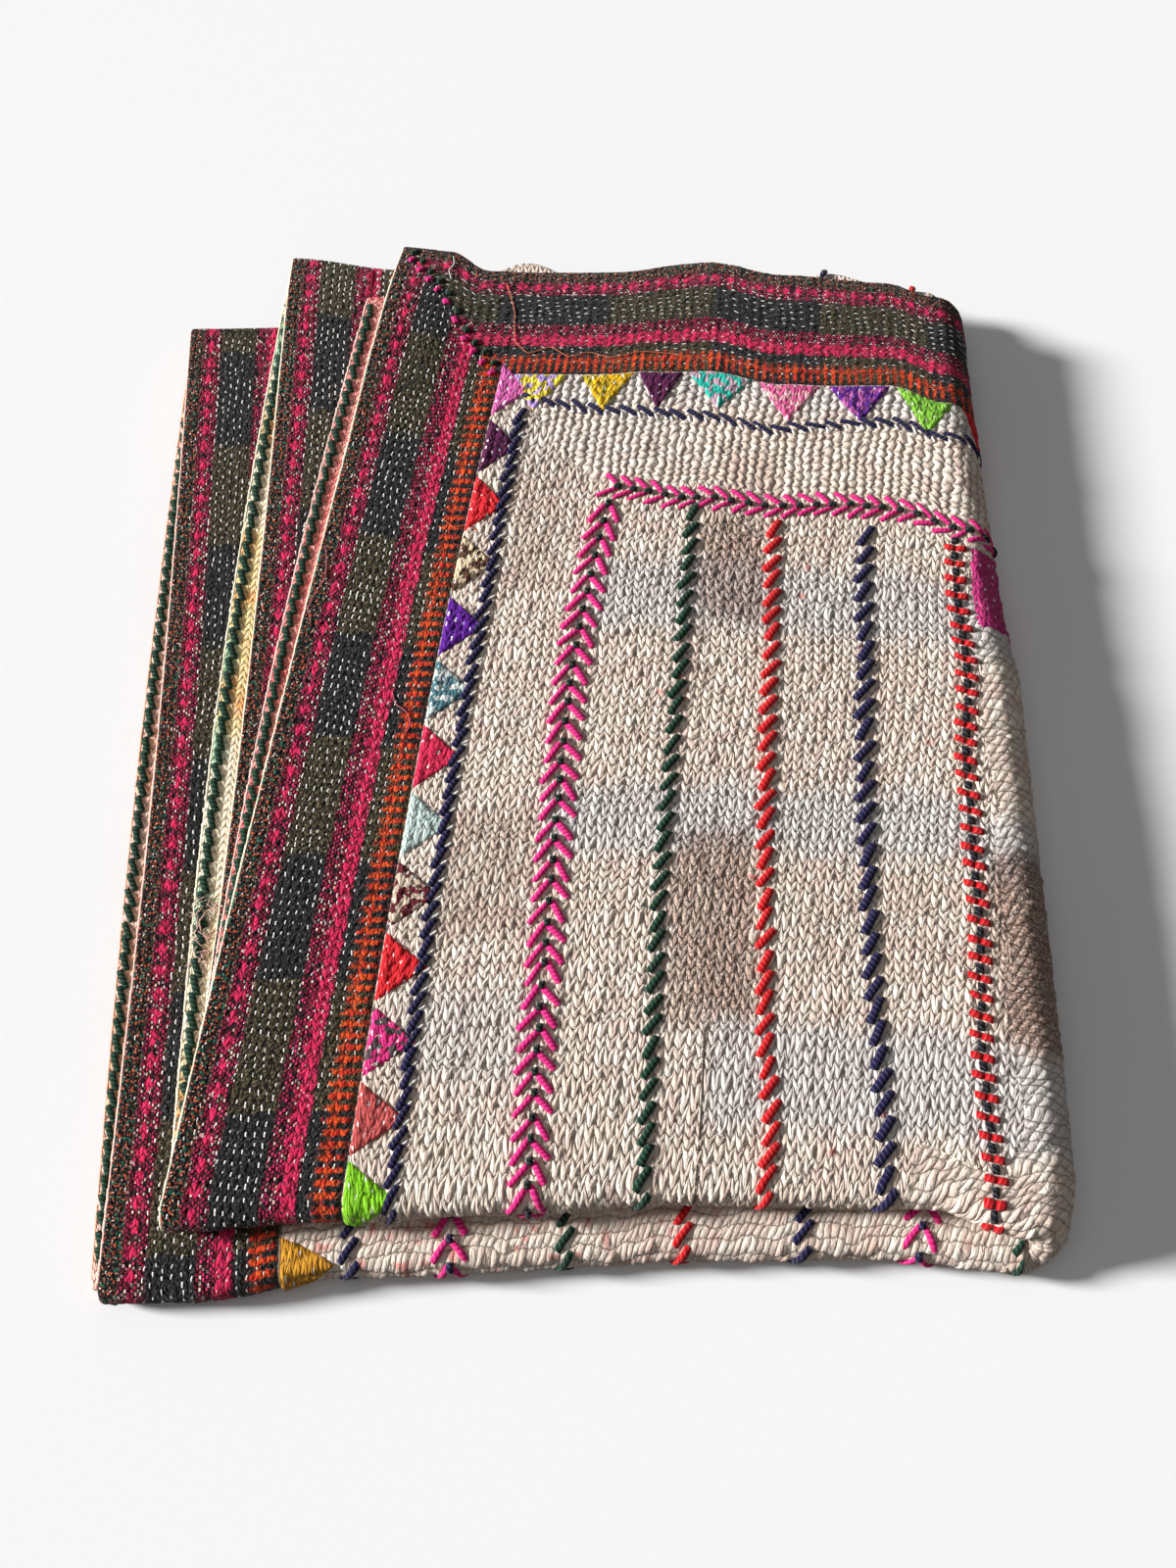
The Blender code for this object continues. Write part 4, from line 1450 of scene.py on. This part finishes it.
ALL_ROWS = range(1, 19)
THREADED = {"sides": 5, "steps": 4, "rise": 0.3, "dive": 0.5, "flatness": 0.8, "looseness": 0.22}
sew(
    "border_running_stitches",
    thread_stitches(running(ALL_ROWS, ALL_ROWS, (0.004, NEAR), (0.004, 0.495))),
    COTTON_THREAD, PLAID, seed=6, **THREADED,
)
sew(
    "lower_plies_running_stitches",
    thread_stitches(running(range(1, 13), (), (F4, F5), (0, 0)))
    + thread_stitches(running(range(1, 19), (), (F1, F3), (0, 0)), lower=True),
    COTTON_THREAD, PLAID, seed=7, **THREADED,
)


HEM_PITCH, HEM_LENGTH, HEM_WIDTH = 0.0094, 0.0112, 0.0038


def overcast(start, end, across, way):
    """Pointed wool stitches along a hem, seen on the cloth's back."""
    for n in range(int((end - start) / HEM_PITCH)):
        place = (across, start + (n + 0.5) * HEM_PITCH + SHUFFLE.uniform(-0.0008, 0.0008))
        made = stitch(place, way, HEM_LENGTH, HEM_WIDTH, WOOL_GREEN)
        yield made._replace(lift=-(SURFACE + 0.0006))


sew(
    "hem_wool_stitches",
    list(overcast(F6, DOWN, 0.0042, (0.34, -0.94)))
    + list(overcast(F2, F3, 0.0046, (0.34, -0.94)))
    + list(overcast(F4, F5, ACROSS - 0.0040, (-0.34, 0.94))),
    WOOL, PLAID, looseness=0.12, seed=8, fullness=1.6, rise=-0.25, dive=-0.45,
)

# A pale edge shows where the backing turns over a hem: across, and its reach down.
PIPING_STEP, PIPING_LENGTH, PIPING_WIDTH = 0.0052, 0.0066, 0.0017
Piping = namedtuple("Piping", "across start end side dye")
PIPINGS = (
    Piping(0.0005, 0.004, F2, 1, CREAM), Piping(0.0005, F4, F5, 1, CREAM),
    Piping(0.0005, F6, DOWN, -1, SALMON_PALE), Piping(0.0005, F2, F3, -1, CREAM),
    Piping(ACROSS - 0.0005, F2, F3, 1, SALMON_PALE), Piping(ACROSS - 0.0005, F4, F5, -1, PEACH),
)


def piped():
    """Short lengths of the turned edge, one after the other along each hem."""
    made = []
    for pipe in PIPINGS:
        for n in range(int((pipe.end - pipe.start) / PIPING_STEP)):
            place = (pipe.across, pipe.start + (n + 0.5) * PIPING_STEP)
            width = PIPING_WIDTH * SHUFFLE.uniform(0.75, 1.25)
            lift = pipe.side * (0.0009 + SHUFFLE.uniform(-0.0003, 0.0003))
            made.append(Stitch(*place, SHUFFLE.uniform(-0.06, 0.06), PIPING_LENGTH, width, pipe.dye, lift))
    return made


sew("hem_edges", piped(), COTTON_THREAD, PLAID, sides=6, steps=4, rise=0.0, dive=0.1,
    flatness=1.0, looseness=0.03, seed=9, fullness=3.0)

DARK_SEAM = srgb(92, 74, 64)
LOOSE_PINK = srgb(236, 120, 130)
LOOSE_ORANGE = srgb(222, 110, 70)
WORN_HEM = (0.006, F3 - 0.442)        # middle of the frayed stretch of the cream hem
# A run of thread lying on the cloth: its dye, thickness, height and places.
Loose = namedtuple("Loose", "dye thickness lift places")
LOOSE_THREADS = (
    Loose(LOOSE_ORANGE, 0.0006, ON_THREADS, (
        (0.070, 0.012), (0.080, 0.034), (0.085, 0.056), (0.100, 0.066), (0.118, 0.060), (0.135, 0.068),
        (0.152, 0.064), (0.172, 0.069), (0.196, 0.066), (0.222, 0.068), (0.240, 0.071))),
    Loose(LOOSE_PINK, 0.0005, ON_THREADS, (
        (0.003, 0.218), (0.006, 0.226), (0.008, 0.238), (0.004, 0.249), (0.002, 0.258), (0.006, 0.266))),
    Loose(LOOSE_PINK, 0.0005, ON_THREADS, (
        (0.059, 0.300), (0.062, 0.308), (0.069, 0.313), (0.073, 0.321), (0.070, 0.330))),
    Loose(LOOSE_ORANGE, 0.0006, ON_THREADS, (
        (0.066, 0.186), (0.074, 0.192), (0.083, 0.190), (0.091, 0.195))),
    Loose(LOOSE_PINK, 0.0005, ON_THREADS, (
        (0.470, 0.066), (0.478, 0.072), (0.480, 0.080), (0.474, 0.086))),
    Loose(THREAD_WHITE, 0.0008, ON_BORDER + 0.0012, (
        (0.034, 0.006), (0.036, 0.012), (0.034, 0.019), (0.037, 0.025))),
    Loose(DARK_SEAM, 0.0012, ON_CENTRE - 0.0001, ((0.2704, 0.507), (0.2700, 0.550), (0.2687, 0.600))),
)


def laid(loose):
    """Short lengths of thread, end to end along a smooth line through the places."""
    places = np.array([(narrowed(across, down), down) for across, down in loose.places])
    ats = np.linspace(0.0, len(places) - 1.0, 8 * len(places))
    steps = np.arange(len(places))
    line = np.stack([np.interp(ats, steps, places[:, k]) for k in (0, 1)], 1)
    for turn in range(3):
        line[1:-1] = (line[:-2] + 2 * line[1:-1] + line[2:]) / 4
    for here, there in zip(line, line[1:]):
        way, middle = there - here, (here + there) / 2
        length = float(np.hypot(*way))
        angle = math.atan2(-way[0], way[1])
        yield Stitch(*middle, angle, length * 1.25, loose.thickness, loose.dye, loose.lift)


def frayed(middle, reach, count, dye, side):
    """Loose ends of a torn edge, every way."""
    for n in range(count):
        place = np.array(middle) + SHUFFLE.uniform(-1.0, 1.0, 2) * reach
        lift = side * (SURFACE + SHUFFLE.uniform(0.0003, 0.0030))
        angle, length = SHUFFLE.uniform(0.0, math.pi), SHUFFLE.uniform(0.003, 0.008)
        yield Stitch(*place, angle, length, 0.0005, dye, lift)


sew(
    "loose_threads",
    [made for loose in LOOSE_THREADS for made in laid(loose)]
    + list(frayed(WORN_HEM, (0.005, 0.020), 60, SALMON_PALE, -1.0)),
    COTTON_THREAD, PLAID, sides=5, steps=3, rise=0.0, dive=0.0, flatness=1.0, looseness=0.02, seed=10,
)

# ---- small cuts of cloth -----------------------------------------------------

Cut = namedtuple("Cut", "ground figure printed")
MAUVE = Cut(srgb(214, 98, 170), srgb(240, 150, 200), 0.15)
PLUM = Cut(srgb(92, 26, 74), srgb(60, 14, 50), 0.2)
RED_COTTON = Cut(srgb(226, 34, 44), srgb(180, 16, 30), 0.1)
BROWN_PRINT = Cut(srgb(226, 204, 168), srgb(88, 54, 40), 1.0)
PURPLE = Cut(srgb(96, 24, 150), srgb(70, 12, 120), 0.1)
TEAL_IKAT = Cut(srgb(74, 116, 128), srgb(222, 226, 222), 0.8)
CRIMSON_COTTON = Cut(srgb(214, 36, 78), srgb(170, 20, 56), 0.1)
PALE_GREEN = Cut(srgb(186, 204, 198), srgb(210, 222, 216), 0.2)
DARK_FLORAL = Cut(srgb(96, 26, 38), srgb(234, 216, 190), 0.7)
NAVY_FLORAL = Cut(srgb(230, 50, 130), srgb(20, 70, 60), 0.9)
TERRACOTTA = Cut(srgb(196, 84, 82), srgb(160, 56, 56), 0.2)
LIME = Cut(srgb(132, 204, 30), srgb(104, 172, 20), 0.1)
YELLOW_PRINT = Cut(srgb(236, 214, 60), srgb(190, 160, 226), 1.0)
YELLOW_GREEN = Cut(srgb(244, 190, 20), srgb(60, 120, 50), 0.5)
TURQUOISE = Cut(srgb(40, 190, 170), srgb(234, 120, 170), 0.6)
PINK_COTTON = Cut(srgb(228, 96, 150), srgb(244, 206, 196), 0.6)
PURPLE_FLORAL = Cut(srgb(96, 36, 140), srgb(236, 120, 190), 0.5)
MUSTARD = Cut(srgb(214, 150, 40), srgb(160, 100, 20), 0.3)
MAGENTA = Cut(srgb(196, 52, 122), srgb(160, 34, 96), 0.2)
SPRING_GREEN = Cut(srgb(132, 194, 60), srgb(92, 152, 44), 0.4)

SIDE_CUTS = (MAUVE, PLUM, RED_COTTON, BROWN_PRINT, PURPLE, TEAL_IKAT, CRIMSON_COTTON, PALE_GREEN,
             DARK_FLORAL, RED_COTTON, NAVY_FLORAL, TERRACOTTA, LIME)
# Along the back, with the middle and half the width of each.
END_CUTS = (
    (YELLOW_PRINT, 0.1140, 0.0255), (YELLOW_GREEN, 0.1715, 0.0240), (PLUM, 0.2160, 0.0200),
    (TURQUOISE, 0.2660, 0.0285), (PINK_COTTON, 0.3235, 0.0280), (PURPLE_FLORAL, 0.3825, 0.0280),
    (SPRING_GREEN, 0.4365, 0.0240), (RED_COTTON, 0.4845, 0.0230),
)
TOOTH = 0.0285                        # from a tooth's base to its tip
FIRST_TOOTH, TOOTH_PITCH, HALF_TOOTH = 0.0920, 0.0415, 0.0206


def sawteeth():
    """Corners and cloth of every tooth, its base on the border's seam."""
    for n, cut in enumerate(SIDE_CUTS):
        middle = FIRST_TOOTH + TOOTH_PITCH * n
        start, end = middle - HALF_TOOTH, middle + HALF_TOOTH
        tip = (BORDER + TOOTH, middle + 0.001)
        yield ((BORDER, start), (BORDER, end), tip, tip), cut
    for cut, middle, half in END_CUTS:
        start, end = middle - half, middle + half
        tip = (middle, BORDER + TOOTH)
        yield ((end, BORDER), (start, BORDER), tip, tip), cut
    tip = (LOW - TOOTH, F2 - 0.004)
    yield ((LOW, F2 + 0.016), (LOW, F2 - 0.022), tip, tip), MUSTARD
    yield ((0.456, 0.186), (0.453, 0.242), (0.505, 0.230), (0.505, 0.178)), MAGENTA


def upward(mesh):
    """Sum of the faces' upward normals, by area."""
    return sum(face.normal.z * face.area for face in mesh.polygons)


def patches():
    """Every cut of cloth as a small quilted sheet with its edges turned under."""
    made = bmesh.new()
    flat_layer, sewn_layer = made.loops.layers.uv.new("flat"), made.loops.layers.uv.new("sewn")
    tone_layer = made.verts.layers.float_color.new("tone")
    print_layer = made.verts.layers.float_color.new("print")
    steps = 20
    share = np.linspace(0.0, 1.0, steps + 1)
    s, t = np.meshgrid(share, share)
    for corners, cut in sawteeth():
        near_side = [mix(corners[0][k], corners[1][k], s) for k in (0, 1)]
        far_side = [mix(corners[3][k], corners[2][k], s) for k in (0, 1)]
        a, d = (mix(near_side[k], far_side[k], t) for k in (0, 1))
        pointed = corners[2] == corners[3]
        from_edge = np.minimum(np.minimum(s, 1 - s) * (1 - t * pointed), np.minimum(t, 1 - t))
        turned = np.sqrt(1.0 - (1.0 - np.clip(from_edge * 14.0, 0, 1)) ** 2)
        lift = SURFACE + centre_relief(a, d) - LEAST + 0.0011 * turned
        lift = lift + 0.0008 * ripples(*sewn(a, d), IN_PATCH) * turned
        points = fold(a, d, lift)
        places = np.stack((a, d), -1)
        sewn_places = np.stack(sewn(a, d), -1)
        grid = [[made.verts.new(points[i, j]) for j in range(steps + 1)] for i in range(steps + 1)]
        for row in grid:
            for vert in row:
                vert[tone_layer] = (*cut.ground, 1.0)
                vert[print_layer] = (*cut.figure, cut.printed)
        for i in range(steps):
            for j in range(steps):
                around = ((i, j), (i, j + 1), (i + 1, j + 1), (i + 1, j))
                face = made.faces.new([grid[p][q] for p, q in around])
                for loop, (p, q) in zip(face.loops, around):
                    loop[flat_layer].uv = places[p, q]
                    loop[sewn_layer].uv = sewn_places[p, q]
    bmesh.ops.remove_doubles(made, verts=made.verts, dist=1e-6)
    mesh = bpy.data.meshes.new("sawtooth_patches")
    made.to_mesh(mesh)
    made.free()
    if upward(mesh) < 0:
        mesh.flip_normals()
    return new_piece("sawtooth_patches", mesh, PATCH_CLOTH, FIELD)


patches()

# ---- the view ----------------------------------------------------------------

GROUND_REACH = 30
SUN_STRENGTH, SUN_SPREAD, SUN_TILT, SUN_TURN = 6.8, 11.0, 68.0, -97.0
SKY_STRENGTH = 0.13
CAMERA_PLACE, CAMERA_TILT = (0.0038, -0.3559, 0.8841), 20.0
LENS, SENSOR = 36.18, 36.0

ground = bpy.data.meshes.new("ground")
corners = [(x * GROUND_REACH, y * GROUND_REACH, 0) for x, y in ((-1, -1), (1, -1), (1, 1), (-1, 1))]
ground.from_pydata(corners, [], [(0, 1, 2, 3)])
ground.materials.append(plain_ground())
ground = bpy.data.objects.new("ground", ground)
bpy.context.scene.collection.objects.link(ground)
ground.visible_diffuse = False


def soft_light(name, place, aim, size, power):
    lamp = bpy.data.lights.new(name, "AREA")
    lamp.shape, lamp.size, lamp.energy = "DISK", size, power
    holder = bpy.data.objects.new(name, lamp)
    holder.location = place
    away = np.array(place, float) - np.array(aim, float)
    across_angle = math.atan2(away[0], -away[1])
    holder.rotation_euler = (math.atan2(math.hypot(away[0], away[1]), away[2]), 0.0, across_angle)
    bpy.context.scene.collection.objects.link(holder)


daylight = bpy.data.lights.new("window", "SUN")
daylight.energy, daylight.angle = SUN_STRENGTH, math.radians(SUN_SPREAD)
window = bpy.data.objects.new("window", daylight)
window.rotation_euler = (math.radians(SUN_TILT), 0.0, math.radians(SUN_TURN))
bpy.context.scene.collection.objects.link(window)
soft_light("overhead", (-0.5, 0.0, 2.6), (0.0, 0.0, 0.0), 2.0, 6.0)

world = bpy.data.worlds.new("pale studio")
world.use_nodes = True
world.node_tree.nodes["Background"].inputs["Color"].default_value = (1.0, 1.0, 1.0, 1.0)
world.node_tree.nodes["Background"].inputs["Strength"].default_value = SKY_STRENGTH
bpy.context.scene.world = world

bpy.context.scene.view_settings.view_transform = "Standard"

camera = bpy.data.cameras.new("camera")
camera.lens, camera.sensor_width, camera.sensor_fit = LENS, SENSOR, "AUTO"
camera = bpy.data.objects.new("camera", camera)
camera.location = CAMERA_PLACE
camera.rotation_euler = (math.radians(CAMERA_TILT), 0.0, 0.0)
bpy.context.scene.collection.objects.link(camera)
bpy.context.scene.camera = camera
